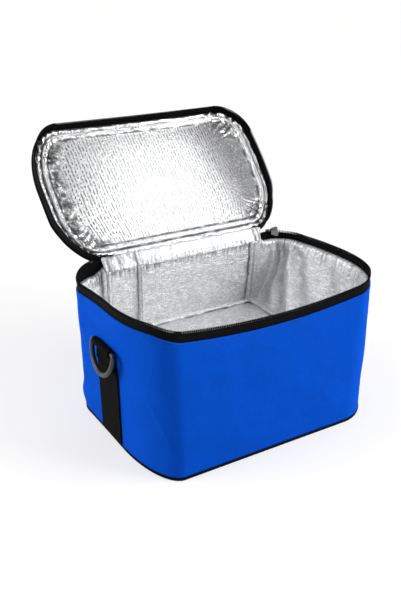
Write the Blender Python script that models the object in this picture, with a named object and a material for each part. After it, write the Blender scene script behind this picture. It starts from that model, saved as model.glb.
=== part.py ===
"""Soft insulated cooler bag with a zip-round lid that folds on the back, modelled with the lid open.

Metres, +Z up, front at -Y. The origin is the middle of the base, on the surface that the bag stands on.
"""

import math

import bmesh
import bpy
from mathutils import Vector

# Overall sizes of the closed bag
WIDTH = 0.300
DEPTH = 0.186
WALL_HEIGHT = 0.154
LEAN = 0.003  # each end wall stands this much further in at the base than at the rim
SPREAD = 0.008  # the front and back walls each stand this much further out at the base than at the rim
FRONT_RADIUS = 0.052
BACK_RADIUS = 0.036
FRONT_BOW = 0.003  # how far the middle of the front stands proud of a straight line
LID_OPEN = math.radians(137.5)  # angle of the lid from closed, as modelled

# Cloth, foam and foil
FABRIC = 0.0010
WALL_FOAM = 0.0050
BASE_FOAM = 0.0060
LID_FOAM_EDGE = 0.0004  # foam below the lid's edge, where its crown has not begun to rise
FOIL = 0.0006
FIT = 0.0003  # gap between pieces that lie on each other

# Corded seams and bound seams
PIPING_RADIUS = 0.0016
PIPING_PROUD = 0.0007
BINDING_RADIUS = 0.0020
BINDING_JOIN_X = -0.0665  # where the wall lining is joined, on the back wall
BINDING_LEFT_X = -0.110  # ends of the lining's back panel
BINDING_RIGHT_X = 0.086
LID_BINDING_INSET = 0.0130

# Lining, a loose bag that hangs from the rim, narrower than the walls and clear of the base
LINING_FLOOR_Z = 0.0780
LINING_FRONT = 0.0660  # how far its floor reaches in front of the middle
LINING_RADIUS = 0.0080
LINING_MARGIN = 0.0010  # from the corner bindings to where the lining's corners begin

# Zip
BODY_TAPE = 0.0105  # tape and teeth that show above the wall
LID_TAPE = 0.0125  # tape and teeth that show below the lid
TAPE_THICKNESS = 0.0008
TAPE_SEAM = 0.0080  # tape hidden behind the wall's top edge
TOOTH_PITCH = 0.0040
TOOTH_ROOT = 0.0016
TOOTH_TIP = 0.0028
TOOTH_THICKNESS = 0.0020
TEETH_APART = 0.0020  # between the two rows when the lid is down but not zipped

# Zip slider and pull
SLIDER_LENGTH = 0.0090
SLIDER_PLATE = 0.0016
SLIDER_SLOT = 0.0030
SLIDER_BELOW = 0.0060
SLIDER_ABOVE = 0.0045
SLIDER_PARK = math.radians(68.0)  # round the right back corner, from the end wall towards the hinge
SLIDER_FLARE = ((-1.0, 0.62), (-0.35, 0.74), (0.25, 1.0), (0.75, 1.0), (1.0, 0.8))  # height share along it
BAIL_WIRE = 0.0007
BAIL_REACH = 0.0045
BAIL_HALF = 0.0026
PULL_WIDTH = 0.0070
PULL_LENGTH = 0.0200
PULL_THICKNESS = 0.0012
PULL_NECK = 0.0052
PULL_CORNER = 0.0016
PULL_SLOT_WIDTH = 0.0036
PULL_SLOT_LENGTH = 0.0050

# Lid
LID_CROWN = 0.0070
LID_SHOULDER = 0.0300  # width of the border over which the lid rises to its crown
LID_RISE = ((0.0, 0.0), (0.25, 0.62), (0.6, 0.93), (1.0, 1.0))  # shares of the shoulder and the crown
LID_BACK = 0.0095  # height of the lid's own strip of cloth between the fold and its piping

# Strap webbing and D-rings on the ends
WEBBING_WIDTH = 0.046
WEBBING_THICKNESS = 0.0015
WEBBING_BOTTOM = 0.0060
WEBBING_LOOP_Z = 0.1150
WEBBING_FOLD = 0.0220  # length of webbing doubled below the loop
WEBBING_Y = -0.002
RING_WIRE = 0.0022
RING_PLAY = 0.0004
RING_SIDE_PLAY = 0.0005
RING_CORNER = 0.0030
RING_DROP = 0.0330
RING_TILT = math.radians(8.0)

# Carry handle on the lid
HANDLE_WIDTH = 0.025
HANDLE_THICKNESS = 0.0016
HANDLE_HALF = 0.078
HANDLE_ARCH_HALF = 0.050
HANDLE_RISE = 0.022
PATCH_LENGTH = 0.026
PATCH_OVERHANG = 0.002

# Facets
CORNER_STEPS = 8
FRONT_STEPS = 8
ROUND_STEPS = 10
ARCH_STEPS = 14

# Heights and insets that follow from the sizes above
HINGE_HALF = WIDTH / 2 - BACK_RADIUS
TEETH_Z = WALL_HEIGHT + BODY_TAPE
LID_TEETH_Z = TEETH_Z + TEETH_APART
LID_Z = LID_TEETH_Z + LID_TAPE + PIPING_RADIUS
PIPING_INSET = PIPING_RADIUS - PIPING_PROUD
TAPE_INSET = FABRIC + FIT
TAPE_MIDDLE = TAPE_INSET + TAPE_THICKNESS / 2
FOAM_INSET = TAPE_INSET + TAPE_THICKNESS + FIT
LINING_INSET = FOAM_INSET + WALL_FOAM + FIT
CAVITY_INSET = LINING_INSET + FOIL
BASE_FOAM_Z = FABRIC + FIT
LINING_BACK = DEPTH / 2 - LINING_INSET
LINING_LEFT = BINDING_LEFT_X - LINING_MARGIN - LINING_RADIUS
LINING_RIGHT = BINDING_RIGHT_X + LINING_MARGIN + LINING_RADIUS
LID_EDGE = PIPING_INSET + PIPING_RADIUS + FIT
FOLD_Z = LID_Z - LID_BACK
FOLD_Y = DEPTH / 2 + FIT / 2
LINING_TOP = WALL_HEIGHT - FIT - FOIL

COLOURS = {
    "blue_fabric": ((0.004, 0.080, 0.560), 0.85, 0.0),
    "black_trim": ((0.010, 0.010, 0.011), 0.75, 0.0),
    "black_webbing": ((0.011, 0.010, 0.010), 0.80, 0.0),
    "black_plastic": ((0.015, 0.015, 0.016), 0.40, 0.0),
    "zip_metal": ((0.200, 0.205, 0.210), 0.35, 1.0),
    "silver_foil": ((0.780, 0.785, 0.795), 0.28, 0.9),
    "white_foam": ((0.850, 0.850, 0.840), 0.90, 0.0),
}


def clear_scene():
    for old in list(bpy.data.objects):
        bpy.data.objects.remove(old)


def new_collection(name):
    found = bpy.data.collections.new(name)
    bpy.context.scene.collection.children.link(found)
    return found


def material(name):
    made = bpy.data.materials.get(name)
    if made:
        return made
    colour, roughness, metallic = COLOURS[name]
    made = bpy.data.materials.new(name)
    made.use_nodes = True
    shader = made.node_tree.nodes["Principled BSDF"]
    shader.inputs["Base Color"].default_value = (*colour, 1.0)
    shader.inputs["Roughness"].default_value = roughness
    shader.inputs["Metallic"].default_value = metallic
    return made


def add(name, data, finish, parent=None):
    made = bpy.data.objects.new(name, data)
    data.materials.clear()
    data.materials.append(material(finish))
    PARTS.objects.link(made)
    made.parent = parent
    return made


def pivot(name, place, parent=None):
    made = bpy.data.objects.new(name, None)
    made.empty_display_size = 0.02
    made.location = place
    made.parent = parent
    PARTS.objects.link(made)
    return made


# Plan of the bag


def arc(centre, radius, start, end, steps):
    turn = (end - start) / steps
    angles = [start + turn * k for k in range(steps + 1)]
    middle = Vector(centre)
    return [middle + radius * Vector((math.cos(a), math.sin(a))) for a in angles]


def half_sizes(z):
    """Half the width and half the depth of the outline at height z."""
    left_over = 1.0 - min(z / WALL_HEIGHT, 1.0)
    return WIDTH / 2 - LEAN * left_over, DEPTH / 2 + SPREAD * left_over


def rounded(sides, back_radius, front_radius, bow, inset):
    """Rounded outline from the left end of its back edge round the front to the right end, moved in by inset."""
    left, right, front, back = sides
    back_y, front_y = back - back_radius, front + front_radius
    front_left, front_right = left + front_radius, right - front_radius
    quarter = math.pi / 2
    outline = arc((left + back_radius, back_y), back_radius - inset, quarter, 2 * quarter, CORNER_STEPS)
    outline += arc((front_left, front_y), front_radius - inset, 2 * quarter, 3 * quarter, CORNER_STEPS)
    for k in range(1, FRONT_STEPS):
        share = k / FRONT_STEPS
        proud = 4.0 * bow * share * (1.0 - share)
        outline.append(Vector((front_left + (front_right - front_left) * share, front + inset - proud)))
    outline += arc((front_right, front_y), front_radius - inset, 3 * quarter, 4 * quarter, CORNER_STEPS)
    outline += arc((right - back_radius, back_y), back_radius - inset, 0.0, quarter, CORNER_STEPS)
    return outline


def plan(inset, z):
    """Outline of the walls at height z, which is also the lid's at the rim."""
    half_width, half_depth = half_sizes(z)
    sides = (-half_width, half_width, -half_depth, half_depth)
    return rounded(sides, BACK_RADIUS, FRONT_RADIUS, FRONT_BOW, inset)


def loop(inset, z):
    return [Vector((p.x, p.y, z)) for p in plan(inset, z)]


def floor_loop(inset, z):
    """Outline of the lining's floor."""
    sides = (LINING_LEFT, LINING_RIGHT, -LINING_FRONT, LINING_BACK)
    return [Vector((p.x, p.y, z)) for p in rounded(sides, LINING_RADIUS, LINING_RADIUS, 0.0, inset)]


def resampled(inset, z, step):
    """The same outline with points at equal steps, the nearest that fit its length evenly."""
    points = loop(inset, z)
    lengths = [0.0]
    for a, b in zip(points, points[1:]):
        lengths.append(lengths[-1] + (b - a).length)
    count = 2 * round(lengths[-1] / step / 2)
    found, k = [], 0
    for i in range(count + 1):
        target = lengths[-1] * i / count
        while k < len(points) - 2 and lengths[k + 1] < target:
            k += 1
        share = (target - lengths[k]) / (lengths[k + 1] - lengths[k])
        found.append(points[k].lerp(points[k + 1], share))
    return found


# Ways of making a solid


def loft(name, sections, closed, finish, parent=None, offset=(0.0, 0.0, 0.0)):
    """Skin through sections of as many points each. An open run of sections gets a face on each end."""
    bm = bmesh.new()
    rows = [[bm.verts.new(p - Vector(offset)) for p in section] for section in sections]
    pairs = list(zip(rows, rows[1:]))
    if closed:
        pairs.append((rows[-1], rows[0]))
    else:
        bm.faces.new(rows[0])
        bm.faces.new(rows[-1])
    for a, b in pairs:
        for k in range(len(a)):
            n = (k + 1) % len(a)
            bm.faces.new((a[k], a[n], b[n], b[k]))
    bmesh.ops.recalc_face_normals(bm, faces=bm.faces)
    mesh = bpy.data.meshes.new(name)
    bm.to_mesh(mesh)
    bm.free()
    mesh.shade_smooth()
    mesh.set_sharp_from_angle(angle=math.radians(40.0))
    made = add(name, mesh, finish, parent)
    return made


def band(name, profile, closed, finish, parent=None, offset=(0.0, 0.0, 0.0)):
    """Solid that follows the outline, with a profile of (inset, height) points."""
    loops = [loop(inset, z) for inset, z in profile]
    sections = [list(section) for section in zip(*loops)]
    return loft(name, sections, closed, finish, parent, offset)


def pad(name, layers, finish, parent=None, offset=(0.0, 0.0, 0.0)):
    """Solid built up from whole outlines, each (inset, height), from its underside to its top."""
    return loft(name, [loop(inset, z) for inset, z in layers], False, finish, parent, offset)


def tube(name, points, radius, cyclic, finish, parent=None, sides=1):
    """Round bar along points."""
    curve = bpy.data.curves.new(name, "CURVE")
    curve.dimensions = "3D"
    curve.bevel_depth = radius
    curve.bevel_resolution = sides
    curve.use_fill_caps = True
    spline = curve.splines.new("POLY")
    spline.points.add(len(points) - 1)
    for point, place in zip(spline.points, points):
        point.co = (*place, 1.0)
    spline.use_cyclic_u = cyclic
    return add(name, curve, finish, parent)


def plate(name, outlines, thickness, finish, parent=None):
    """Flat outline with any holes, in its own XY plane, thickened evenly to both sides."""
    curve = bpy.data.curves.new(name, "CURVE")
    curve.dimensions = "2D"
    curve.fill_mode = "BOTH"
    curve.extrude = thickness / 2
    for outline in outlines:
        spline = curve.splines.new("POLY")
        spline.points.add(len(outline) - 1)
        for point, place in zip(spline.points, outline):
            point.co = (place[0], place[1], 0.0, 1.0)
        spline.use_cyclic_u = True
    return add(name, curve, finish, parent)


def as_mesh(made):
    """Swaps a curve object for the mesh it makes, with its loose caps welded."""
    bpy.context.view_layer.update()
    graph = bpy.context.evaluated_depsgraph_get()
    mesh = bpy.data.meshes.new_from_object(made.evaluated_get(graph))
    bm = bmesh.new()
    bm.from_mesh(mesh)
    bmesh.ops.remove_doubles(bm, verts=bm.verts, dist=1e-6)
    bmesh.ops.recalc_face_normals(bm, faces=bm.faces)
    bm.to_mesh(mesh)
    bm.free()
    name, parent, place = made.name, made.parent, made.matrix_basis.copy()
    bpy.data.objects.remove(made)
    swapped = bpy.data.objects.new(name, mesh)
    PARTS.objects.link(swapped)
    swapped.parent = parent
    swapped.matrix_basis = place
    return swapped


def join_into(made, tool):
    """Boolean union of tool into made. The tool stays as a hidden helper."""
    PARTS.objects.unlink(tool)
    HELPERS.objects.link(tool)
    tool.hide_render = True
    tool.display_type = "WIRE"
    union = made.modifiers.new("union", "BOOLEAN")
    union.operation = "UNION"
    union.object = tool


# Body


def body_walls():
    wall_bottom = 2 * PIPING_RADIUS + FIT
    wall = [(0.0, wall_bottom), (FABRIC, wall_bottom), (FABRIC, WALL_HEIGHT), (0.0, WALL_HEIGHT)]
    band("outer_wall", wall, True, "blue_fabric")
    tape_bottom = WALL_HEIGHT - TAPE_SEAM
    foam_top = LINING_TOP - FIT
    rebate_z = tape_bottom - FIT
    foam_back = FOAM_INSET + WALL_FOAM
    foam = [
        (TAPE_INSET, wall_bottom),
        (foam_back, wall_bottom),
        (foam_back, foam_top),
        (FOAM_INSET, foam_top),
        (FOAM_INSET, rebate_z),
        (TAPE_INSET, rebate_z),
    ]
    band("wall_insulation", foam, True, "white_foam")
    rim = WALL_HEIGHT - FIT
    lining = [floor_loop(0.0, LINING_FLOOR_Z), floor_loop(FOIL, LINING_FLOOR_Z), loop(CAVITY_INSET, rim)]
    lining += [loop(FOAM_INSET, rim), loop(FOAM_INSET, LINING_TOP), loop(LINING_INSET, LINING_TOP)]
    sections = [list(section) for section in zip(*lining)]
    loft("wall_lining", sections, True, "silver_foil")


def body_base():
    edge = PIPING_INSET + PIPING_RADIUS + FIT
    pad("base_panel", [(edge, 0.0), (edge, FABRIC)], "blue_fabric")
    tube("base_piping", loop(PIPING_INSET, PIPING_RADIUS), PIPING_RADIUS, True, "black_trim")
    inset = FOAM_INSET + WALL_FOAM + FIT
    pad("base_insulation", [(inset, BASE_FOAM_Z), (inset, BASE_FOAM_Z + BASE_FOAM)], "white_foam")
    faces = [floor_loop(FOIL + FIT, z) for z in (LINING_FLOOR_Z, LINING_FLOOR_Z + FOIL)]
    loft("base_lining", faces, False, "silver_foil")


def body_bindings():
    inset = FOIL + FIT + BINDING_RADIUS
    z = LINING_FLOOR_Z + inset
    tube("base_seam_binding", floor_loop(inset, z), BINDING_RADIUS, True, "silver_foil")
    bottom = z + BINDING_RADIUS + FIT
    top = LINING_TOP - BINDING_RADIUS
    places = {
        "back_seam_binding": BINDING_JOIN_X,
        "corner_binding_left": BINDING_LEFT_X,
        "corner_binding_right": BINDING_RIGHT_X,
    }
    for name, x in places.items():
        ends = [(x, LINING_BACK - inset, height) for height in (bottom, top)]
        tube(name, ends, BINDING_RADIUS, False, "silver_foil")


def hinge_strips(prefix, bottom, top, parent=None, offset=(0.0, 0.0, 0.0)):
    """Outer cloth and foil lining across the back, between the ends of the zip."""
    cloth = ("hinge_panel", 0.0, FABRIC, "blue_fabric")
    foil = ("hinge_lining", FABRIC + FIT, FOIL, "silver_foil")
    half = HINGE_HALF - 2 * FIT
    for name, inset, thickness, finish in (cloth, foil):
        outer_y = DEPTH / 2 - inset
        inner_y = outer_y - thickness
        section = [(outer_y, bottom), (outer_y, top), (inner_y, top), (inner_y, bottom)]
        ends = [[Vector((x, y, z)) for y, z in section] for x in (-half, half)]
        loft(prefix + name, ends, False, finish, parent, offset)


# Zip


def tape_section(*heights):
    """Profile of a tape that goes through the heights, which rise."""
    inner = TAPE_INSET + TAPE_THICKNESS
    return [(TAPE_INSET, z) for z in reversed(heights)] + [(inner, z) for z in heights]


def teeth(name, base, direction, parent=None, offset=(0.0, 0.0, 0.0)):
    """Row of pointed teeth from height base, upwards or downwards."""
    half = TOOTH_THICKNESS / 2
    paths = [resampled(TAPE_MIDDLE + side * half, TEETH_Z, TOOTH_PITCH / 2) for side in (-1, 1)]
    sections = []
    for k, (outer, inner) in enumerate(zip(*paths)):
        height = TOOTH_TIP if k % 2 else TOOTH_ROOT
        tip = base + direction * height
        corners = ((outer, base), (inner, base), (inner, tip), (outer, tip))
        sections.append([Vector((p.x, p.y, z)) for p, z in corners])
    loft(name, sections, False, "black_plastic", parent, offset)


def body_zip():
    teeth_base = TEETH_Z - TOOTH_TIP
    tape = tape_section(WALL_HEIGHT - TAPE_SEAM, WALL_HEIGHT, teeth_base - FIT)
    band("body_zip_tape", tape, False, "black_trim")
    teeth("body_zip_teeth", teeth_base, 1)


def slider():
    """Slider on its own pivot at the centre of the right back corner, which the track goes round."""
    centre = (WIDTH / 2 - BACK_RADIUS, DEPTH / 2 - BACK_RADIUS, TEETH_Z)
    track = pivot("slider_track_axis", centre)
    track.rotation_euler.z = SLIDER_PARK - math.pi / 2
    reach = BACK_RADIUS - TAPE_MIDDLE
    slot = SLIDER_SLOT / 2
    face = slot + SLIDER_PLATE
    web_low, web_high = FIT, TEETH_APART - 2 * FIT
    sections = []
    for along, share in SLIDER_FLARE:
        low, high = -SLIDER_BELOW * share, SLIDER_ABOVE * share
        section = [(face, low), (face, high), (slot, high), (slot, web_high), (-face, web_high)]
        section += [(-face, low), (-slot, low), (-slot, web_low), (slot, web_low), (slot, low)]
        x = along * SLIDER_LENGTH / 2
        sections.append([Vector((x, reach + n, z)) for n, z in section])
    made = loft("zip_slider", sections, False, "zip_metal", track)
    wire = []
    for k in range(ROUND_STEPS + 1):
        angle = math.pi * (k / ROUND_STEPS - 0.5)
        out = BAIL_REACH * math.cos(angle) - BAIL_WIRE
        wire.append((0.0, reach + face + out, BAIL_HALF * math.sin(angle)))
    bail = as_mesh(tube("bail", wire, BAIL_WIRE, False, "zip_metal", track))
    join_into(made, bail)
    eye = BAIL_REACH - 2 * BAIL_WIRE
    pull_axis = pivot("pull_axis", (0.0, reach + face + eye / 2, 0.0), track)
    pull_axis.rotation_euler.x = math.pi / 2
    pull(pull_axis)


def pull(axis):
    half, neck, bar = PULL_WIDTH / 2, PULL_NECK / 2, PULL_THICKNESS
    corner = PULL_CORNER
    top, bottom = bar / 2, -PULL_LENGTH
    outline = arc((-half + corner, bottom + corner), corner, math.pi, 1.5 * math.pi, 4)
    outline += arc((half - corner, bottom + corner), corner, 1.5 * math.pi, 2 * math.pi, 4)
    outline += [(neck, -PULL_SLOT_LENGTH), (neck, top), (-neck, top), (-neck, -PULL_SLOT_LENGTH)]
    side = PULL_SLOT_WIDTH / 2
    slot_top = -bar / 2
    slot_low = slot_top - PULL_SLOT_LENGTH
    slot = [(-side, slot_top), (side, slot_top), (side, slot_low), (-side, slot_low)]
    plate("zip_pull", [outline, slot], PULL_THICKNESS, "zip_metal", axis)


# Lid


def lid():
    """Lid pieces hang on a pivot along the fold, and are modelled closed, then swung open."""
    place = (0.0, FOLD_Y, FOLD_Z)
    hinge_axis = pivot("lid_hinge_axis", place)
    hinge_axis.rotation_euler.x = -LID_OPEN
    hinge_strips("lid_", FOLD_Z + FIT / 2, LID_Z - PIPING_RADIUS - FIT, hinge_axis, place)
    under = LID_Z - FABRIC / 2
    rise = [(LID_EDGE + LID_SHOULDER * a, under + LID_CROWN * b) for a, b in LID_RISE]
    outside = [(inset, z + FABRIC) for inset, z in rise]
    pad("lid_panel", rise[:0:-1] + [rise[0]] + outside, "blue_fabric", hinge_axis, place)
    piping = [p - Vector(place) for p in loop(PIPING_INSET, LID_Z)]
    tube("lid_piping", piping, PIPING_RADIUS, True, "black_trim", hinge_axis)
    foam_top = [(inset, z - FIT) for inset, z in rise]
    foam_low = under - FIT - LID_FOAM_EDGE
    pad("lid_insulation", [(LID_EDGE, foam_low)] + foam_top, "white_foam", hinge_axis, place)
    lining_top = foam_low - FIT
    layers = [(LID_EDGE, lining_top - FOIL), (LID_EDGE, lining_top)]
    pad("lid_lining", layers, "silver_foil", hinge_axis, place)
    binding_z = lining_top - FOIL - FIT - BINDING_RADIUS
    binding = [p - Vector(place) for p in loop(LID_BINDING_INSET, binding_z)]
    tube("lid_seam_binding", binding, BINDING_RADIUS, True, "silver_foil", hinge_axis)
    teeth_base = LID_TEETH_Z + TOOTH_TIP
    tape = tape_section(teeth_base + FIT, LID_Z - PIPING_RADIUS - FIT)
    band("lid_zip_tape", tape, False, "black_trim", hinge_axis, place)
    teeth("lid_zip_teeth", teeth_base, -1, hinge_axis, place)
    handle(hinge_axis, LID_BACK + LID_CROWN + FABRIC / 2 + FIT)


def handle(hinge_axis, seat):
    """Webbing handle across the lid, flat at its ends, arched between them, with a sewn patch on each end."""
    middle_y = -FOLD_Y
    line = [(-HANDLE_HALF, 0.0)]
    for k in range(ARCH_STEPS + 1):
        across = 2.0 * k / ARCH_STEPS - 1.0
        line.append((HANDLE_ARCH_HALF * across, HANDLE_RISE * math.cos(math.pi / 2 * across) ** 2))
    line.append((HANDLE_HALF, 0.0))
    upper = []
    for k, (x, z) in enumerate(line):
        before, after = line[max(k - 1, 0)], line[min(k + 1, len(line) - 1)]
        along = Vector((after[0] - before[0], after[1] - before[1])).normalized()
        upper.append((x - along.y * HANDLE_THICKNESS, z + along.x * HANDLE_THICKNESS))
    made = plate("lid_handle", [line + upper[::-1]], HANDLE_WIDTH, "black_webbing", hinge_axis)
    made.rotation_euler.x = math.pi / 2
    made.location = (0.0, middle_y, seat)
    for side, name in ((-1, "handle_patch_left"), (1, "handle_patch_right")):
        half_x, half_y = PATCH_LENGTH / 2, HANDLE_WIDTH / 2 + PATCH_OVERHANG
        corners = [(-half_x, -half_y), (half_x, -half_y), (half_x, half_y), (-half_x, half_y)]
        patch = plate(name, [corners], FABRIC, "black_webbing", hinge_axis)
        x = side * (HANDLE_HALF + PATCH_OVERHANG - half_x)
        patch.location = (x, middle_y, seat + HANDLE_THICKNESS + FIT + FABRIC / 2)


# Ends


def end_fitting(side, name):
    """Webbing sewn up an end wall, folded into a loop at its top, with a D-ring hanging in the loop."""
    hole = RING_WIRE + RING_PLAY
    reach = hole + WEBBING_THICKNESS
    tall = WEBBING_LOOP_Z - WEBBING_BOTTOM
    double = 2 * WEBBING_THICKNESS
    under = math.acos((double - reach) / reach)
    outline = [(0.0, 0.0), *arc((reach, tall), reach, math.pi, -under, 2 * ROUND_STEPS)]
    fold_end = tall - WEBBING_FOLD
    outline += [(double, fold_end), (WEBBING_THICKNESS, fold_end), (WEBBING_THICKNESS, 0.0)]
    eye = arc((reach, tall), hole, 0.0, 2 * math.pi, 2 * ROUND_STEPS)[:-1]
    lean = math.atan2(LEAN, WALL_HEIGHT)
    foot_x = WIDTH / 2 - LEAN * (1.0 - WEBBING_BOTTOM / WALL_HEIGHT) + FIT
    foot = pivot(name + "_webbing_foot", (side * foot_x, WEBBING_Y, WEBBING_BOTTOM))
    foot.rotation_euler.z = 0.0 if side > 0 else math.pi
    strip = plate("strap_webbing_" + name, [outline, eye], WEBBING_WIDTH, "black_webbing", foot)
    strip.rotation_euler = (math.pi / 2, lean, 0.0)
    bar_x = foot_x + reach * math.cos(lean) + tall * math.sin(lean)
    bar_z = WEBBING_BOTTOM + tall * math.cos(lean) - reach * math.sin(lean)
    axis = pivot(name + "_ring_axis", (side * bar_x, WEBBING_Y, bar_z))
    axis.rotation_euler = (0.0, -RING_TILT, 0.0 if side > 0 else math.pi)
    d_ring("d_ring_" + name, axis)


def d_ring(name, axis):
    half = WEBBING_WIDTH / 2 + RING_SIDE_PLAY + RING_CORNER
    inner = half - RING_CORNER
    quarter = math.pi / 2
    outline = arc((inner, -RING_CORNER), RING_CORNER, quarter, 0.0, 4)
    for k in range(1, 2 * ROUND_STEPS):
        angle = math.pi * k / (2 * ROUND_STEPS)
        drop = RING_CORNER + (RING_DROP - RING_CORNER) * math.sin(angle)
        outline.append(Vector((half * math.cos(angle), -drop)))
    outline += arc((-inner, -RING_CORNER), RING_CORNER, 2 * quarter, quarter, 4)
    tube(name, [(0.0, p.x, p.y) for p in outline], RING_WIRE, True, "black_plastic", axis, sides=2)


clear_scene()
PARTS = new_collection("insulated cooler bag")
HELPERS = new_collection("helpers")
body_walls()
body_base()
body_bindings()
hinge_strips("", WALL_HEIGHT + FIT, FOLD_Z - FIT / 2)
body_zip()
slider()
lid()
end_fitting(-1, "left")
end_fitting(1, "right")
bpy.context.view_layer.update()
for empty in PARTS.objects:
    if empty.type == "EMPTY":
        print(empty.name, [round(x, 5) for x in empty.matrix_world.translation])
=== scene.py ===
import math

import bmesh
import bpy
from mathutils import Matrix, Vector, noise


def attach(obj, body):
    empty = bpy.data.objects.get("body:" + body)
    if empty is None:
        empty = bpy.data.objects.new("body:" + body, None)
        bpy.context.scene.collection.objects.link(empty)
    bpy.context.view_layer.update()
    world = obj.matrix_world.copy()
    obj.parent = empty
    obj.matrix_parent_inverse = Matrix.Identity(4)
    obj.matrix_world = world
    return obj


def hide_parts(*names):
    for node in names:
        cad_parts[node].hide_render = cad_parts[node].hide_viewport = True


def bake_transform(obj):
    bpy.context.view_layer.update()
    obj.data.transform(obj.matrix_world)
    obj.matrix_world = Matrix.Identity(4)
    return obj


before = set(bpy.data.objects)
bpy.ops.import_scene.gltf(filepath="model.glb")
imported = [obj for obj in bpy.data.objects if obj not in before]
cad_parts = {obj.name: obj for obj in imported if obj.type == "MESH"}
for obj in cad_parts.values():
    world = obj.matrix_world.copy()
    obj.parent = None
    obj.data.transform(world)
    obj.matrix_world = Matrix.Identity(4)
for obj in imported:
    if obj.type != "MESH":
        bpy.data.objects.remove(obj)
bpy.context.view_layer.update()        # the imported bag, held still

scene = bpy.context.scene
scene.view_settings.view_transform = "Standard"
print("frame loaded:", len(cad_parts), "nodes")

# The plan that every sewn piece follows, in metres; the soft walls stand a little off the cut shape
bag = {
    "halfDepth": 0.093,
    "wallHeight": 0.154,
    "rim": {
        "leftBack": -0.1532, "left": -0.1485, "right": 0.1592,
        "rightBack": 0.1505, "front": -0.0889, "back": 0.0930,
    },
    "foot": {
        "leftBack": -0.1475, "left": -0.1464, "right": 0.1508,
        "rightBack": 0.1470, "front": -0.1070, "back": 0.1000,
    },
    "backRadius": 0.036,
    "rimTurns": {"left": (0.0400, 0.0830), "right": (0.0420, 0.0740)},  # the front corners, across and along
    "footTurns": {"left": (0.0305, 0.0825), "right": (0.0600, 0.0880)},
    "rimSag": 0.0155,  # the soft rim hangs this low at the middle of the front
    "sagReach": 0.155,
}
fold = {"y": 0.09315, "z": 0.1711, "open": math.radians(137.5), "lidPlane": 0.1806}


def held(value):  # kept from 0 to 1
    return min(max(value, 0.0), 1.0)


def ease(value, low, high):  # a smooth step from 0 to 1
    share = held((value - low) / (high - low))
    return share * share * (3.0 - 2.0 * share)


def crumple(spot, scale, octaves=3, seed=0):  # soft random height, about -1 to 1
    return noise.fractal((spot + Vector((0, 0, seed))) * scale, 0.9, 2.1, octaves)


def bell(value, middle, width):  # 1 in the middle, falling away on both sides
    return math.exp(-(((value - middle) / width) ** 2))


def turnLength(a, b):  # a quarter of an ellipse
    return math.pi / 4 * (3 * (a + b) - math.sqrt((3 * a + b) * (a + 3 * b)))


def outlineRuns():  # left back corner, left, left front corner, front and so on, ending with the back
    rim, radius = bag["rim"], bag["backRadius"]
    leftX, leftY = bag["rimTurns"]["left"]
    rightX, rightY = bag["rimTurns"]["right"]
    backTurn = turnLength(radius, radius)
    leftSide = rim["back"] - radius - rim["front"] - leftY
    front = rim["right"] - rightX - rim["left"] - leftX
    rightSide = rim["back"] - radius - rim["front"] - rightY
    back = rim["rightBack"] - rim["leftBack"] - 2 * radius
    leftTurn, rightTurn = turnLength(leftX, leftY), turnLength(rightX, rightY)
    return [backTurn, leftSide, leftTurn, front, rightTurn, rightSide, backTurn, back]


runLengths = outlineRuns()
wholeLength = sum(runLengths)
zipLength = wholeLength - runLengths[-1]
frontMiddle = sum(runLengths[:3]) + runLengths[3] / 2
cornerMiddles = [sum(runLengths[:k]) + runLengths[k] / 2 for k in (0, 2, 4, 6)]


def planAt(along, z, inset, sides, backRadius, leftTurn, rightTurn):
    rest = along % wholeLength if along != wholeLength else 0.0
    run = 0
    while run < 7 and rest > runLengths[run]:
        rest -= runLengths[run]
        run += 1
    share = rest / runLengths[run]
    front, back = sides["front"], sides["back"]
    turns = {
        0: (sides["leftBack"] + backRadius, back - backRadius, (backRadius, backRadius), 1),
        2: (sides["left"] + leftTurn[0], front + leftTurn[1], leftTurn, 2),
        4: (sides["right"] - rightTurn[0], front + rightTurn[1], rightTurn, 3),
        6: (sides["rightBack"] - backRadius, back - backRadius, (backRadius, backRadius), 0),
    }
    if run in turns:
        x, y, radii, turn = turns[run]
        angle = (turn + share) * math.pi / 2
        reachX, reachY = radii[0] - inset, radii[1] - inset
        return Vector((x + reachX * math.cos(angle), y + reachY * math.sin(angle), z))
    backY = back - backRadius
    if run == 1:
        frontY = front + leftTurn[1]
        x = sides["leftBack"] + (sides["left"] - sides["leftBack"]) * share * (2 - share)
        return Vector((x + inset, backY + (frontY - backY) * share, z))
    if run == 5:
        frontY = front + rightTurn[1]
        x = sides["right"] + (sides["rightBack"] - sides["right"]) * share * share
        return Vector((x - inset, frontY + (backY - frontY) * share, z))
    leftX, rightX = sides["left"] + leftTurn[0], sides["right"] - rightTurn[0]
    if run == 3:
        return Vector((leftX + (rightX - leftX) * share, front + inset, z))
    leftX, rightX = sides["leftBack"] + backRadius, sides["rightBack"] - backRadius
    return Vector((rightX + (leftX - rightX) * share, back - inset, z))


def sidesAt(z):
    share = min(z / bag["wallHeight"], 1.0)
    return {key: bag["foot"][key] + (bag["rim"][key] - bag["foot"][key]) * share for key in bag["rim"]}


def turnAt(side, z):
    share = min(z / bag["wallHeight"], 1.0)
    foot, rim = bag["footTurns"][side], bag["rimTurns"][side]
    return tuple(low + (high - low) * share for low, high in zip(foot, rim))


def outlineAt(along, z, inset=0.0):
    return planAt(along, z, inset, sidesAt(z), bag["backRadius"], turnAt("left", z), turnAt("right", z))


def outwardAt(along):
    step = outlineAt(along + 0.001, bag["wallHeight"]) - outlineAt(along - 0.001, bag["wallHeight"])
    return Vector((step.y, -step.x, 0.0)).normalized()


def rimDrop(along):  # how far the soft rim hangs below its level
    away = min(abs(along - frontMiddle) / bag["sagReach"], 1.0)
    return bag["rimSag"] * (1.0 - away * away)


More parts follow.
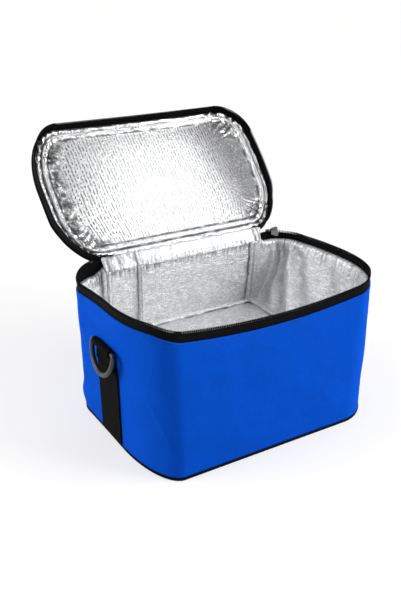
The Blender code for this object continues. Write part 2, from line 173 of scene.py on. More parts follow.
lidSwing = (
    Matrix.Translation((0.0, fold["y"], fold["z"]))
    @ Matrix.Rotation(-fold["open"], 4, "X")
    @ Matrix.Translation((0.0, -fold["y"], -fold["z"]))
)

lidShape = {
    "sides": {
        "leftBack": -0.148, "left": -0.1487, "right": 0.1610,
        "rightBack": 0.151, "front": -0.0937, "back": 0.093,
    },
    "leftTurn": (0.047, 0.085),
    "rightTurn": (0.042, 0.046),
    "taper": 0.092,  # share drawn in beside the hinge
    "taperRun": (0.030, 0.085),
    "sag": 0.0035,
    "sagHalf": 0.12,
    "sagRun": (0.11, 0.186),  # out from the fold
}


def lidOutline(along, inset, z=fold["lidPlane"]):
    left, right = lidShape["leftTurn"], lidShape["rightTurn"]
    return planAt(along, z, inset, lidShape["sides"], bag["backRadius"], left, right)


def lidHang(spot):  # from the cut outline to the way the soft lid hangs
    spot = spot.copy()
    spot.x *= 1.0 - lidShape["taper"] * ease(spot.y, *lidShape["taperRun"])
    across = min(abs(spot.x) / lidShape["sagHalf"], 1.0)
    hang = lidShape["sag"] * (1 - across * across) * ease(fold["y"] - spot.y, *lidShape["sagRun"])
    spot.y += hang
    spot.z -= hang
    return spot


def openLid(bm):
    for vert in bm.verts:
        vert.co = lidSwing @ lidHang(vert.co)


# Ways of making a piece


def clothGrid(across, down, place, size, closed=False, facing=None, marks=None):
    bm = bmesh.new()
    uv = bm.loops.layers.uv.new("UVMap")
    bmesh.ops.create_grid(bm, x_segments=across, y_segments=down, size=0.5)
    for face in bm.faces:
        for corner in face.loops:
            spot = corner.vert.co
            corner[uv].uv = ((spot.x + 0.5) * size[0], (spot.y + 0.5) * size[1])
    layers = {name: bm.verts.layers.float.new(name) for name in marks or {}}
    for vert in bm.verts:
        u, v = vert.co.x + 0.5, vert.co.y + 0.5
        for name, layer in layers.items():
            vert[layer] = marks[name](u, v)
        vert.co = place(u, v)
    if closed:
        bmesh.ops.remove_doubles(bm, verts=bm.verts, dist=1e-6)
    if facing is None:
        bmesh.ops.recalc_face_normals(bm, faces=bm.faces)
    else:
        bm.normal_update()
        if sum(face.normal.dot(facing) for face in bm.faces) < 0:
            bmesh.ops.reverse_faces(bm, faces=bm.faces)
    return bm


def layFlat(bm):  # takes the plan position as the place in the pattern
    uv = bm.loops.layers.uv["UVMap"]
    for face in bm.faces:
        for corner in face.loops:
            corner[uv].uv = corner.vert.co.xy


def squareSpot(a, b, edgeAt, middle, reach, keep=0.0):  # a square laid over a plan, with no pole
    m = max(abs(a), abs(b))
    if m < 1e-9:
        return middle.copy(), reach
    first, second, third, fourth = cornerMiddles
    ca, cb = a / m, b / m
    if ca <= -1 + 1e-9:
        along = first + (second - first) * (1 - cb) / 2
    elif cb <= -1 + 1e-9:
        along = second + (third - second) * (1 + ca) / 2
    elif ca >= 1 - 1e-9:
        along = third + (fourth - third) * (1 + cb) / 2
    else:
        along = fourth + (first + wholeLength - fourth) * (1 - ca) / 2
    m = 1 - (1 - m) ** 1.4  # more rows towards the edge
    depth = (1 - m) * reach
    radial = middle.lerp(edgeAt(along, 0.0), m)
    inner = ease(m, 1 - keep, 1 - 0.5 * keep) if keep else 0.0
    if inner > 0:
        radial = radial.lerp(edgeAt(along, depth), inner)
    return radial, depth


def tubeGrid(pathAt, radius, across, sides, length, up, closed=True, marks=None):
    def place(u, v):
        step = (pathAt(u + 0.5 / across) - pathAt(u - 0.5 / across)).normalized()
        side = step.cross(up).normalized()
        rise = side.cross(step)
        angle = 2 * math.pi * v
        size = radius(u, angle) if callable(radius) else radius
        return pathAt(u) + (side * math.cos(angle) + rise * math.sin(angle)) * size

    size = radius(0.0, 0.0) if callable(radius) else radius
    bm = clothGrid(across, sides, place, (length, 2 * math.pi * size), True, None, marks)
    if not closed:
        ends = [edge for edge in bm.edges if edge.is_boundary]
        bmesh.ops.holes_fill(bm, edges=ends, sides=0)
        bmesh.ops.recalc_face_normals(bm, faces=bm.faces)
    return bm


def polyPath(points, closed=False):  # point at a share of the length of a line through points
    line = points + points[:1] if closed else points
    lengths = [0.0]
    for a, b in zip(line, line[1:]):
        lengths.append(lengths[-1] + (b - a).length)

    def at(u):
        target = (u % 1.0 if closed else held(u)) * lengths[-1]
        k = 0
        while k < len(line) - 2 and lengths[k + 1] < target:
            k += 1
        return line[k].lerp(line[k + 1], (target - lengths[k]) / (lengths[k + 1] - lengths[k]))

    return at, lengths[-1]


def addPiece(name, bm, finish, body=None, nodes=(), thickness=0.0, offset=-1.0):
    mesh = bpy.data.meshes.new(name)
    bm.to_mesh(mesh)
    bm.free()
    mesh.shade_smooth()
    mesh.materials.append(finish)
    piece = bpy.data.objects.new(name, mesh)
    scene.collection.objects.link(piece)
    if thickness:
        wall = piece.modifiers.new("thickness", "SOLIDIFY")
        wall.thickness = thickness
        wall.offset = offset
    if body:
        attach(piece, body)
    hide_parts(*nodes)
    return piece


def settleCloth(piece, spec):  # lets the cloth swell between the places where it is sewn down
    mesh = piece.data
    sewn = piece.vertex_groups.new(name="sewn")
    for vert in mesh.vertices:
        sewn.add([vert.index], mesh.attributes["sewn"].data[vert.index].value, "REPLACE")
    piece.modifiers["thickness"].show_viewport = False
    cloth = piece.modifiers.new("settle", "CLOTH")
    cloth.settings.quality = 4
    cloth.settings.mass = 0.05
    cloth.settings.bending_stiffness = spec["bending"]
    cloth.settings.use_pressure = True
    cloth.settings.uniform_pressure_force = spec["pressure"]
    cloth.settings.vertex_group_mass = "sewn"
    cloth.settings.effector_weights.gravity = 0.0
    cloth.collision_settings.use_collision = False
    for moment in range(1, spec["frames"] + 1):
        scene.frame_set(moment)
    settled = piece.evaluated_get(bpy.context.evaluated_depsgraph_get()).to_mesh()
    moves = [after.co - before.co for after, before in zip(settled.vertices, mesh.vertices)]
    piece.modifiers.remove(cloth)
    piece.vertex_groups.remove(sewn)
    piece.modifiers["thickness"].show_viewport = True
    scene.frame_set(1)
    for vert, move in zip(mesh.vertices, moves):
        vert.co += move * min(1.0, spec["cap"] / max(move.length, 1e-9))
    mesh.update()
    most = min(max(move.length for move in moves), spec["cap"])
    print("settled", piece.name, "by up to %.1f mm" % (1000 * most))


def stitchRow(name, spots, size, finish, body):  # a spot is a place, the way along and the way out
    bm = bmesh.new()
    for spot, along, out in spots:
        along = along.normalized()
        out = (out - along * out.dot(along)).normalized()
        side = out.cross(along)
        turn = Matrix((along * size[0] / 2, side * size[1] / 2, out * size[2] / 2)).transposed().to_4x4()
        turn.translation = spot
        bmesh.ops.create_uvsphere(bm, u_segments=6, v_segments=4, radius=1.0, matrix=turn)
    return addPiece(name, bm, finish, body)


# Finishes


def nodeGroup(name, inputs, outputs):
    tree = bpy.data.node_groups.new(name, "ShaderNodeTree")
    for label, kind in inputs:
        tree.interface.new_socket(label, in_out="INPUT", socket_type=kind)
    for label in outputs:
        tree.interface.new_socket(label, in_out="OUTPUT", socket_type="NodeSocketFloat")
    return tree, tree.nodes.new("NodeGroupInput"), tree.nodes.new("NodeGroupOutput")


def fill(tree, node, place, value):
    if isinstance(value, (int, float, tuple)):
        node.inputs[place].default_value = value
    elif value is not None:
        tree.links.new(value, node.inputs[place])


def calc(tree, operation, first, second=None, third=None):
    node = tree.nodes.new("ShaderNodeMath")
    node.operation = operation
    for place, value in enumerate((first, second, third)):
        fill(tree, node, place, value)
    return node.outputs[0]


def noiseValue(tree, vector, scale, detail=3.0, roughness=0.55, distortion=0.0):
    node = tree.nodes.new("ShaderNodeTexNoise")
    tree.links.new(vector, node.inputs["Vector"])
    sockets = {"Scale": scale, "Detail": detail, "Roughness": roughness, "Distortion": distortion}
    for label, value in sockets.items():
        fill(tree, node, label, value)
    return node.outputs["Fac"]


def weaveGroup():  # plain weave: threads pass over and under by turns
    inputs = [("Vector", "NodeSocketVector"), ("Warp", "NodeSocketFloat"), ("Weft", "NodeSocketFloat")]
    tree, start, end = nodeGroup("threadWeave", inputs, ["Height", "Shade"])
    split = tree.nodes.new("ShaderNodeSeparateXYZ")
    tree.links.new(start.outputs["Vector"], split.inputs[0])
    x = calc(tree, "SINE", calc(tree, "MULTIPLY", split.outputs["X"], start.outputs["Warp"]))
    y = calc(tree, "SINE", calc(tree, "MULTIPLY", split.outputs["Y"], start.outputs["Weft"]))
    over = calc(tree, "GREATER_THAN", calc(tree, "MULTIPLY", x, y), 0.0)
    warp = calc(tree, "MULTIPLY", calc(tree, "ABSOLUTE", x), over)
    weft = calc(tree, "MULTIPLY", calc(tree, "ABSOLUTE", y), calc(tree, "SUBTRACT", 1.0, over))
    height = calc(tree, "ADD", warp, weft)
    slub = noiseValue(tree, start.outputs["Vector"], 420.0, 2.0)
    tree.links.new(calc(tree, "MULTIPLY_ADD", slub, 0.6, height), end.inputs["Height"])
    # painted shade: the raised threads are lighter, and the slub adds the thread's own uneven tone
    shade = calc(tree, "MULTIPLY_ADD", height, 0.22, calc(tree, "MULTIPLY_ADD", slub, 0.5, 0.58))
    tree.links.new(shade, end.inputs["Shade"])
    return tree


def mottleGroup():  # broad unevenness from handling, about 1
    inputs = [("Vector", "NodeSocketVector"), ("Scale", "NodeSocketFloat"), ("Amount", "NodeSocketFloat")]
    tree, start, end = nodeGroup("handledMottle", inputs, ["Factor"])
    cloud = noiseValue(tree, start.outputs["Vector"], start.outputs["Scale"], 4.0, 0.6)
    swing = calc(tree, "MULTIPLY", calc(tree, "SUBTRACT", cloud, 0.5), start.outputs["Amount"])
    tree.links.new(calc(tree, "ADD", swing, 1.0), end.inputs["Factor"])
    return tree


def foilGroup():  # crinkled foil with short embossed dashes in rows, and painted shade along the crinkles
    inputs = [("Vector", "NodeSocketVector"), ("Crinkle", "NodeSocketFloat"), ("Pitch", "NodeSocketFloat")]
    tree, start, end = nodeGroup("crinkledFoil", inputs, ["Fold", "Shade", "Dash"])
    place = start.outputs["Vector"]
    slant = tree.nodes.new("ShaderNodeMapping")
    slant.inputs["Rotation"].default_value = (0.0, 0.0, math.radians(-28))
    slant.inputs["Scale"].default_value = (1.0, 2.6, 1.0)
    tree.links.new(place, slant.inputs["Vector"])
    broad = noiseValue(tree, slant.outputs[0], start.outputs["Crinkle"], 5.0, 0.62, 0.35)
    ridge = calc(tree, "ABSOLUTE", calc(tree, "SUBTRACT", broad, 0.5))
    tree.links.new(calc(tree, "MULTIPLY", ridge, 5.0), end.inputs["Fold"])
    # painted shade: darker along the crinkle lines
    dark = calc(tree, "MAXIMUM", calc(tree, "SUBTRACT", 1.0, calc(tree, "MULTIPLY", ridge, 9.0)), 0.0)
    tree.links.new(calc(tree, "SUBTRACT", 1.0, calc(tree, "MULTIPLY", dark, 0.28)), end.inputs["Shade"])
    split = tree.nodes.new("ShaderNodeSeparateXYZ")
    tree.links.new(place, split.inputs[0])
    drift = calc(tree, "MULTIPLY", noiseValue(tree, place, 70.0, 2.0), 5.0)
    waves = calc(tree, "DIVIDE", 2 * math.pi, start.outputs["Pitch"])
    turns = calc(tree, "MULTIPLY_ADD", split.outputs["X"], waves, drift)
    column = calc(tree, "MULTIPLY_ADD", calc(tree, "SINE", turns), 2.2, -0.30)
    column.node.use_clamp = True
    stretch = tree.nodes.new("ShaderNodeCombineXYZ")
    rate = calc(tree, "DIVIDE", 1.0, start.outputs["Pitch"])
    tree.links.new(calc(tree, "MULTIPLY", split.outputs["X"], rate), stretch.inputs["X"])
    lengthways = calc(tree, "MULTIPLY", split.outputs["Y"], rate)
    tree.links.new(calc(tree, "MULTIPLY", lengthways, 1.15), stretch.inputs["Y"])
    gaps = calc(tree, "MULTIPLY_ADD", noiseValue(tree, stretch.outputs[0], 1.0, 2.0), 6.0, -2.6)
    gaps.node.use_clamp = True
    tree.links.new(calc(tree, "MULTIPLY", column, gaps), end.inputs["Dash"])
    return tree


groups = {"weave": weaveGroup(), "mottle": mottleGroup(), "foil": foilGroup()}


def plainFinish(name, look):
    made = bpy.data.materials.new(name)
    made.use_nodes = True
    shader = made.node_tree.nodes["Principled BSDF"]
    for label, value in look.items():
        shader.inputs[label].default_value = (*value, 1.0) if isinstance(value, tuple) else value
    return made, made.node_tree, shader


def placed(tree, kind, **values):
    node = tree.nodes.new("ShaderNodeGroup")
    node.node_tree = groups[kind]
    for label, value in values.items():
        fill(tree, node, label, value)
    return node


def coords(tree, output):
    return tree.nodes.new("ShaderNodeTexCoord").outputs[output]


def attribute(tree, name):
    node = tree.nodes.new("ShaderNodeAttribute")
    node.attribute_name = name
    return node.outputs["Fac"]


def tinted(tree, shader, colour, *shades):  # colour times each shade
    factor = shades[0]
    for shade in shades[1:]:
        factor = calc(tree, "MULTIPLY", factor, shade)
    mix = tree.nodes.new("ShaderNodeVectorMath")
    mix.operation = "SCALE"
    mix.inputs[0].default_value = colour
    tree.links.new(factor, mix.inputs["Scale"])
    tree.links.new(mix.outputs[0], shader.inputs["Base Color"])


def bumped(tree, shader, height, distance, strength=1.0):
    bump = tree.nodes.new("ShaderNodeBump")
    bump.inputs["Strength"].default_value = strength
    bump.inputs["Distance"].default_value = distance
    tree.links.new(height, bump.inputs["Height"])
    tree.links.new(bump.outputs[0], shader.inputs["Normal"])


def wovenFinish(name, spec):
    look = {"Base Color": spec["colour"], "Roughness": spec["roughness"], **faint}
    made, tree, shader = plainFinish(name, look)
    place = coords(tree, "UV")
    weave = placed(tree, "weave", Vector=place, Warp=math.pi * spec["warp"], Weft=math.pi * spec["weft"])
    scale, amount = spec["mottle"]
    cloud = placed(tree, "mottle", Vector=coords(tree, "Object"), Scale=scale, Amount=amount)
    # painted shade of the weave, with the mottle's own uneven tone
    tinted(tree, shader, spec["colour"], weave.outputs["Shade"], cloud.outputs["Factor"])
    bumped(tree, shader, weave.outputs["Height"], spec["depth"])
    return made


def lessen(tree, mask, amount=1.0):  # 1 with a share of the mask taken away
    return calc(tree, "SUBTRACT", 1.0, calc(tree, "MULTIPLY", mask, amount))


def foilFinish(name, spec):  # a dash shade of None is painted shade read from the piece, with a painted side shade beside it
    look = {"Roughness": spec["roughness"], "Metallic": spec["metallic"]}
    made, tree, shader = plainFinish(name, look)
    place = coords(tree, "UV")
    foil = placed(tree, "foil", Vector=place, Crinkle=spec["crinkle"], Pitch=spec["pitch"])
    cloud = placed(tree, "mottle", Vector=coords(tree, "Object"), Scale=18.0, Amount=spec["mottle"])
    speck = noiseValue(tree, place, 620.0, 2.0)
    # painted shade of the embossed dashes, given here or read from the piece
    painted = spec["grainAndDashShade"] is None
    grainAndDashShade = attribute(tree, "grainAndDashShade") if painted else spec["grainAndDashShade"]
    # painted glint: specks of light and shade painted into the foil's colour
    glint = calc(tree, "MULTIPLY_ADD", speck, spec["glint"], 1.0 - 0.5 * spec["glint"])
    shades = [lessen(tree, foil.outputs["Dash"], grainAndDashShade), cloud.outputs["Factor"], glint]
    # painted shade along the crinkle lines
    if spec["fold"]:
        shades.append(foil.outputs["Shade"])
    # painted shade in the creases, valleys and grooves marked on the piece
    shades.append(lessen(tree, attribute(tree, "creaseShade"), spec["creaseShade"]))
    # painted shade on the lid's turned-away right side and on its crumpled strip
    if painted:
        shades.append(lessen(tree, attribute(tree, "sideShade")))
    tinted(tree, shader, spec["colour"], *shades)
    height = calc(tree, "MULTIPLY", speck, spec["speck"])
    height = calc(tree, "MULTIPLY_ADD", foil.outputs["Fold"], spec["fold"], height)
    height = calc(tree, "SUBTRACT", height, calc(tree, "MULTIPLY", foil.outputs["Dash"], spec["dash"]))
    bumped(tree, shader, height, 0.0005)
    return made


def mouldedFinish(name, colour, roughness, grainAndDashShade, depth, metallic=0.0, **sockets):
    look = {"Base Color": colour, "Roughness": roughness, "Metallic": metallic, **sockets}
    made, tree, shader = plainFinish(name, look)
    place = coords(tree, "Object")
    cloud = placed(tree, "mottle", Vector=place, Scale=160.0, Amount=0.5)
    tinted(tree, shader, colour, cloud.outputs["Factor"])
    speck = noiseValue(tree, place, grainAndDashShade, 3.0)
    rough = calc(tree, "MULTIPLY_ADD", speck, 0.25, roughness - 0.12)
    tree.links.new(rough, shader.inputs["Roughness"])
    bumped(tree, shader, speck, depth)
    return made


faint = {"Specular IOR Level": 0.05}
cloths = {  # threads to the metre, depth of the weave, size and strength of the mottle
    "blueCloth": {
        "colour": (0.0010, 0.108, 0.790), "roughness": 0.80,
        "warp": 900.0, "weft": 900.0, "depth": 0.00018, "mottle": (26.0, 0.22),
    },
    "blackTape": {
        "colour": (0.0048, 0.0046, 0.0046), "roughness": 0.66,
        "warp": 700.0, "weft": 1400.0, "depth": 0.00016, "mottle": (60.0, 0.4),
    },
    "blackWebbing": {
        "colour": (0.0030, 0.0029, 0.0027), "roughness": 0.78,
        "warp": 260.0, "weft": 620.0, "depth": 0.00030, "mottle": (45.0, 0.4),
    },
}
blueCloth, blackTape, blackWebbing = (wovenFinish(name, spec) for name, spec in cloths.items())

lidFoil = foilFinish("lidFoil", {
    "colour": (0.930, 0.935, 0.940), "roughness": 0.25, "metallic": 0.85,
    "mottle": 0.05, "speck": 0.35, "glint": 0.30, "crinkle": 120.0, "pitch": 0.0040,
    "fold": 0.0, "dash": 1.2, "grainAndDashShade": None, "creaseShade": 0.85,
})
greyFoil = {
    "colour": (0.970, 0.978, 0.995), "roughness": 0.30, "metallic": 0.55,
    "mottle": 0.20, "speck": 0.5, "glint": 1.1, "crinkle": 85.0, "pitch": 0.0030,
    "fold": 1.3, "dash": 0.3, "grainAndDashShade": 0.06, "creaseShade": 0.55,
}
stripLook = {
    "metallic": 0.35, "mottle": 0.1, "glint": 0.3, "crinkle": 80.0,
    "fold": 0.5, "dash": 0.25, "grainAndDashShade": 0.05, "creaseShade": 0.65,
}
seamLook = {"roughness": 0.28, "crinkle": 110.0, "fold": 0.5, "grainAndDashShade": 0.10, "creaseShade": 0.72}
wallFoil = foilFinish("wallFoil", greyFoil)
stripFoil = foilFinish("stripFoil", {**greyFoil, **stripLook})
seamFoil = foilFinish("seamFoil", {**greyFoil, **seamLook})

ringPlastic = mouldedFinish("ringPlastic", (0.030, 0.030, 0.032), 0.38, grainAndDashShade=900.0, depth=0.00005)
zipPlastic = mouldedFinish("zipPlastic", (0.006, 0.006, 0.0065), 0.60, grainAndDashShade=900.0, depth=0.00004, **faint)
zipGrey = mouldedFinish("zipGrey", (0.34, 0.345, 0.355), 0.40, grainAndDashShade=700.0, depth=0.00004, metallic=0.6)
paleFoam = mouldedFinish("paleFoam", (0.82, 0.82, 0.80), 0.92, grainAndDashShade=1200.0, depth=0.00030)
blueThread = mouldedFinish("blueThread", (0.003, 0.060, 0.450), 0.70, grainAndDashShade=2000.0, depth=0.00005)
greyThread = mouldedFinish("greyThread", (0.16, 0.16, 0.17), 0.65, grainAndDashShade=2000.0, depth=0.00005)
print("finishes made")

# The strap webbing's line up the ends, which draws the right end in under it

webbing = {
    "width": 0.046,
    "thick": 0.0015,
    "bottom": 0.0060,
    "loopZ": 0.1150,
    "foldLength": 0.0220,
    "y": -0.002,
    "hole": 0.0026,
    "narrow": 0.86,  # share of the width left where the loop is drawn round the ring
    "footX": 0.1471,
    "gap": 0.0003,
    "wallGap": 0.0005,
    "lean": 0.0195,
    "loopTurn": math.radians(285),
    "ribs": 15,
    "ribHeight": 0.00010,
    "wave": 0.0005,
    "edgeWave": 0.0004,
    "across": 170,
    "down": 60,
    "straightRun": (0.070, 0.108),  # heights from lying on the soft wall to going straight up to the loop
    "tuckGap": 0.0007,
    "tuckAcross": (0.030, 0.056),
    "tuckTop": (0.126, 0.146),
}


def webbingX(up):  # how far out the sewn webbing lies
    return webbing["footX"] + webbing["gap"] + up * webbing["lean"]


def endWall(side, y, z):  # how far out the soft end wall stands
    sides = sidesAt(z)
    near, far = ("left", "leftBack") if side < 0 else ("right", "rightBack")
    turn = turnAt(near, z)
    start, end = sides["front"] + turn[1], sides["back"] - bag["backRadius"]
    if y >= start:
        return abs(sides[near] + (sides[far] - sides[near]) * min((y - start) / (end - start), 1.0) ** 2)
    return abs(sides[near]) - turn[0] * (1 - math.sqrt(max(1 - ((start - y) / turn[1]) ** 2, 0.0)))


def tuckIn(spot):  # how far the right end is drawn in at a place on the outline
    if spot.x < 0:
        return 0.0
    line = webbingX(spot.z - webbing["bottom"])
    proud = max(endWall(1, spot.y, spot.z) + webbing["tuckGap"] - line, 0.0)
    across = 1 - ease(abs(spot.y - webbing["y"]), *webbing["tuckAcross"])
    return proud * across * ease(spot.z, *webbing["straightRun"]) * (1 - ease(spot.z, *webbing["tuckTop"]))


# Outer wall and base

wall = {
    "bottom": 0.0035,
    "top": 0.1527,
    "thickness": 0.0010,
    "across": 440,
    "down": 84,
    "puff": 0.0012,
    "wrinkle": 0.00025,
    "pucker": 0.00022,
    "puckerPitch": 0.0042,
    "endX": 0.135,  # beyond this the cloth lies flat under the webbing
    "flatTop": (0.119, 0.131),
    "flatAcross": (0.022, 0.034),
    "flatInset": 0.0003,
    "belly": {"rise": 0.0034, "z": 0.019, "tall": 0.014, "start": (0.0, 0.030), "end": (0.060, 0.092)},
    "creases": [  # from, to, as along and height, then rise and half width
        ((0.166, 0.086), (0.186, 0.052), 0.0013, 0.0034),
        ((0.186, 0.052), (0.206, 0.012), 0.0011, 0.0030),
        ((0.060, 0.138), (0.104, 0.106), 0.0005, 0.0040),
        ((0.488, 0.146), (0.478, 0.030), 0.0007, 0.0040),
        ((0.300, 0.140), (0.345, 0.118), 0.0004, 0.0050),
        ((0.395, 0.060), (0.430, 0.020), 0.0004, 0.0045),
        ((0.530, 0.120), (0.560, 0.060), 0.0006, 0.0045),
        ((0.720, 0.110), (0.790, 0.050), 0.0006, 0.0060),
    ],
}


def wallCrease(along, z):
    rise = 0.0
    for (a, low), (b, high), size, width in wall["creases"]:
        share = (along - a) * (b - a) + (z - low) * (high - low)
        share = held(share / ((b - a) ** 2 + (high - low) ** 2))
        away = math.hypot(along - a - share * (b - a), z - low - share * (high - low))
        rise += size * bell(away, 0.0, width) * (1 - 0.6 * abs(2 * share - 1))  # fades towards both ends
    return rise


def wallBelly(along, z):  # the soft foot of the left back corner
    belly = wall["belly"]
    across = ease(along, *belly["start"]) * (1 - ease(along, *belly["end"]))
    return belly["rise"] * bell(z, belly["z"], belly["tall"]) * across


def wallPuff(along, z):  # how far the blue cloth stands off its flat line
    height = z / bag["wallHeight"]
    spot = outlineAt(along, z)
    free = min(height * 6, (1 - height) * 8, 1.0)
    end = (1 - ease(z, *wall["flatTop"])) * (abs(spot.x) > wall["endX"])
    under = 1 - end * (1 - ease(abs(spot.y - webbing["y"]), *wall["flatAcross"]))
    swell = wall["puff"] * crumple(spot, 17.0, 2) + wall["wrinkle"] * crumple(spot, 60.0, 3)
    swell += wallCrease(along, z) + wallBelly(along, z)
    pucker = wall["pucker"] * math.sin(along * 2 * math.pi / wall["puckerPitch"]) * ease(height, 0.90, 0.985)
    return (swell * free - wall["flatInset"]) * under + pucker


def wallSpot(u, v):
    along = u * wholeLength
    z = wall["bottom"] + v * (wall["top"] - wall["bottom"])
    spot = outlineAt(along, z)
    spot.x -= tuckIn(spot)
    spot += outwardAt(along) * wallPuff(along, z)
    spot.z -= rimDrop(along) * ease(v, 0.0, 1.0) * v
    return spot


bm = clothGrid(wall["across"], wall["down"], wallSpot, (wholeLength, bag["wallHeight"]), True)
addPiece("outerWall", bm, blueCloth, "body", ["outer_wall"], wall["thickness"])

base = {"inset": 0.0028, "thickness": 0.0010, "across": 120, "down": 80, "uneven": 0.0004}


def baseSpot(u, v):
    edgeAt = lambda along, inset: outlineAt(along, 0.0, base["inset"] + inset)
    spot, depth = squareSpot(2 * u - 1, 2 * v - 1, edgeAt, Vector((0, 0, 0)), bag["halfDepth"])
    spot.z = base["uneven"] * ease(depth, 0.0, 0.02) * (0.5 + 0.5 * crumple(spot, 30.0, 2))
    return spot


bm = clothGrid(base["across"], base["down"], baseSpot, (0.29, 0.20), False, Vector((0, 0, -1)))
addPiece("basePanel", bm, blueCloth, "body", ["base_panel"], base["thickness"])

piping = {"radius": 0.0014, "inset": 0.0012, "across": 420, "sides": 12, "twists": 260, "twist": 0.05}


def pipingRadius(u, angle):
    return piping["radius"] * (1.0 + piping["twist"] * math.sin(u * 2 * math.pi * piping["twists"] + angle))


def basePipingAt(u):
    return outlineAt(u * wholeLength, piping["radius"], piping["inset"])


bm = tubeGrid(basePipingAt, pipingRadius, piping["across"], piping["sides"], wholeLength, Vector((0, 0, 1)))
addPiece("basePiping", bm, blackTape, "body", ["base_piping"])
print("wall, base and piping made")

# Zip tapes and teeth

tape = {
    "inset": 0.0017,
    "thickness": 0.0008,
    "bodyLow": 0.1460,
    "bodyHigh": 0.1617,
    "lidLow": 0.1694,
    "lidHigh": 0.1788,
    "across": 420,
    "down": 14,
    "wave": 0.00035,
    "rib": 0.00035,
    "bodyRib": 0.72,  # share of the way up the tape
    "lidRib": 0.35,
    "over": 0.009,  # runs on this far behind the hinge
    "endLift": (0.009, 0.003),  # the left and right ends are drawn up towards the fold
    "liftRun": (0.055, 0.030),
}
teeth = {"pitch": 0.0021, "long": 0.0011, "tall": 0.0027, "thick": 0.0019, "bevel": 0.00025}


def zipPlan(along, inset, onLid, share=1.0):  # share: how far up the tape
    if onLid:
        return lidOutline(along, inset, 0.0)
    left, right = tape["endLift"]
    leftRun, rightRun = tape["liftRun"]
    lift = left * (1 - ease(along, 0.0, leftRun)) + right * ease(along, zipLength - rightRun, zipLength)
    spot = outlineAt(along, bag["wallHeight"], inset)
    spot.z = lift * share - rimDrop(along)
    return spot


def tapeSpot(low, high, groove, onLid=False):
    def place(u, v):
        along = u * (zipLength + 2 * tape["over"]) - tape["over"]
        z = low + (high - low) * v
        wave = tape["wave"] * crumple(Vector((along, z * 0.3, 2.0)), 60.0, 2)
        rib = tape["rib"] * bell(v, groove, 0.07)
        spot = zipPlan(along, tape["inset"] + rib, onLid, v)
        spot += outwardAt(along) * wave
        spot.z += z + 0.5 * wave
        return spot

    return place


def teethRow(low, name, node, body, onLid=False):
    bm = bmesh.new()
    count = round(zipLength / teeth["pitch"])
    for k in range(count):
        along = (k + 0.5) * teeth["pitch"]
        out = outwardAt(along)
        spot = zipPlan(along, tape["inset"], onLid)
        spot.z += low + teeth["tall"] / 2
        step = Vector((-out.y, out.x, 0.0))
        sides = (step * teeth["long"], out * teeth["thick"], Vector((0, 0, teeth["tall"])))
        turn = Matrix(sides).transposed().to_4x4()
        turn.translation = spot
        bmesh.ops.create_cube(bm, size=1.0, matrix=turn)
    bmesh.ops.bevel(
        bm, geom=bm.edges, offset=teeth["bevel"], segments=1, profile=0.5, affect="EDGES", material=-1
    )
    if onLid:
        openLid(bm)
    addPiece(name, bm, zipPlastic, body, [node])


def tapeLength(body, node, onLid=False):
    low, high = tape[body + "Low"], tape[body + "High"]
    place = tapeSpot(low, high, tape[body + "Rib"], onLid)
    bm = clothGrid(tape["across"], tape["down"], place, (zipLength, high - low))
    if onLid:
        openLid(bm)
    addPiece(body + "Tape", bm, blackTape, body, [node], tape["thickness"], 0.0)


tapeLength("body", "body_zip_tape")
teethRow(tape["bodyHigh"], "bodyTeeth", "body_zip_teeth", "body")
tapeLength("lid", "lid_zip_tape", True)
teethRow(tape["lidLow"] - teeth["tall"], "lidTeeth", "lid_zip_teeth", "lid", True)
print("zip made")

# Lid: outside, piping, lining and its binding

lid = {
    "half": 0.150,
    "edge": 0.0028,
    "crown": 0.0070,
    "shoulder": 0.030,
    "keep": 0.35,  # share of the face, from its edge, that follows the outline
    "panelAcross": 150,
    "panelDown": 110,
    "panelThick": 0.0010,
    "panelGap": 0.0005,
    "panelUneven": 0.0006,
    "corner": (0.060, 0.026),  # the corners start and end this far from the sides
}
lining = {
    "face": 0.1786,
    "across": 220,
    "down": 170,
    "thick": 0.0005,
    "rollPitch": 0.0080,
    "rollHeight": 0.0030,
    "border": 0.0160,
    "blur": 0.001,
    "strip": 0.0105,  # crumpled strip inside the rolls, widest at the left
    "stripRun": (-0.128, -0.070),
    "stripCrumple": 0.0009,
    "pillow": 0.0050,
    "pillowHalf": (0.142, 0.085),
    "gather": 0.0016,
    "gatherRun": (0.014, 0.034),
    "gathers": 22,
    "fine": (0.00014, 0.0005),  # over the face and more on the rolls
    "valley": 0.0013,
    "dashes": {"all": 0.20, "left": 1.00, "right": 0.45, "top": 0.25},  # how strongly the painted shade of the dashes shows
    "dashLeft": (-0.122, -0.020),
    "dashRight": (0.040, 0.080, 0.085, 0.115),
    "dashTop": (0.040, 0.075),
    "shade": 0.58,  # of the right side
    "shadeEdge": (0.046, 0.30, 0.122),  # starts here, leans by this share, full here
    "stripShade": (0.20, 0.45),
    "stripLeft": (-0.125, -0.060),
    "shadeMost": 0.85,
    "settle": {"pressure": 4.0, "bending": 0.5, "frames": 20, "cap": 0.0015},
    "sewnRun": 0.012,
}


def lidEdge(inset):
    return lambda along, more: lidOutline(along, inset + more)


def cornerShare(spot):  # 1 in the lid's four corners, 0 along its sides
    start, end = lid["corner"]
    x = ease(abs(spot.x), lid["half"] - start, lid["half"] - end)
    y = ease(abs(spot.y), bag["halfDepth"] - start, bag["halfDepth"] - end)
    return x * y


def lidSpot(u, v, z):  # place on a flat face of the lid and how far it lies from the edge
    middle = Vector((0, 0, z))
    edgeAt = lidEdge(lid["edge"])
    return squareSpot(2 * u - 1, 2 * v - 1, edgeAt, middle, bag["halfDepth"], lid["keep"])


def lidCrown(depth):
    return lid["crown"] * math.sqrt(ease(depth, -0.4 * lid["shoulder"], lid["shoulder"]))


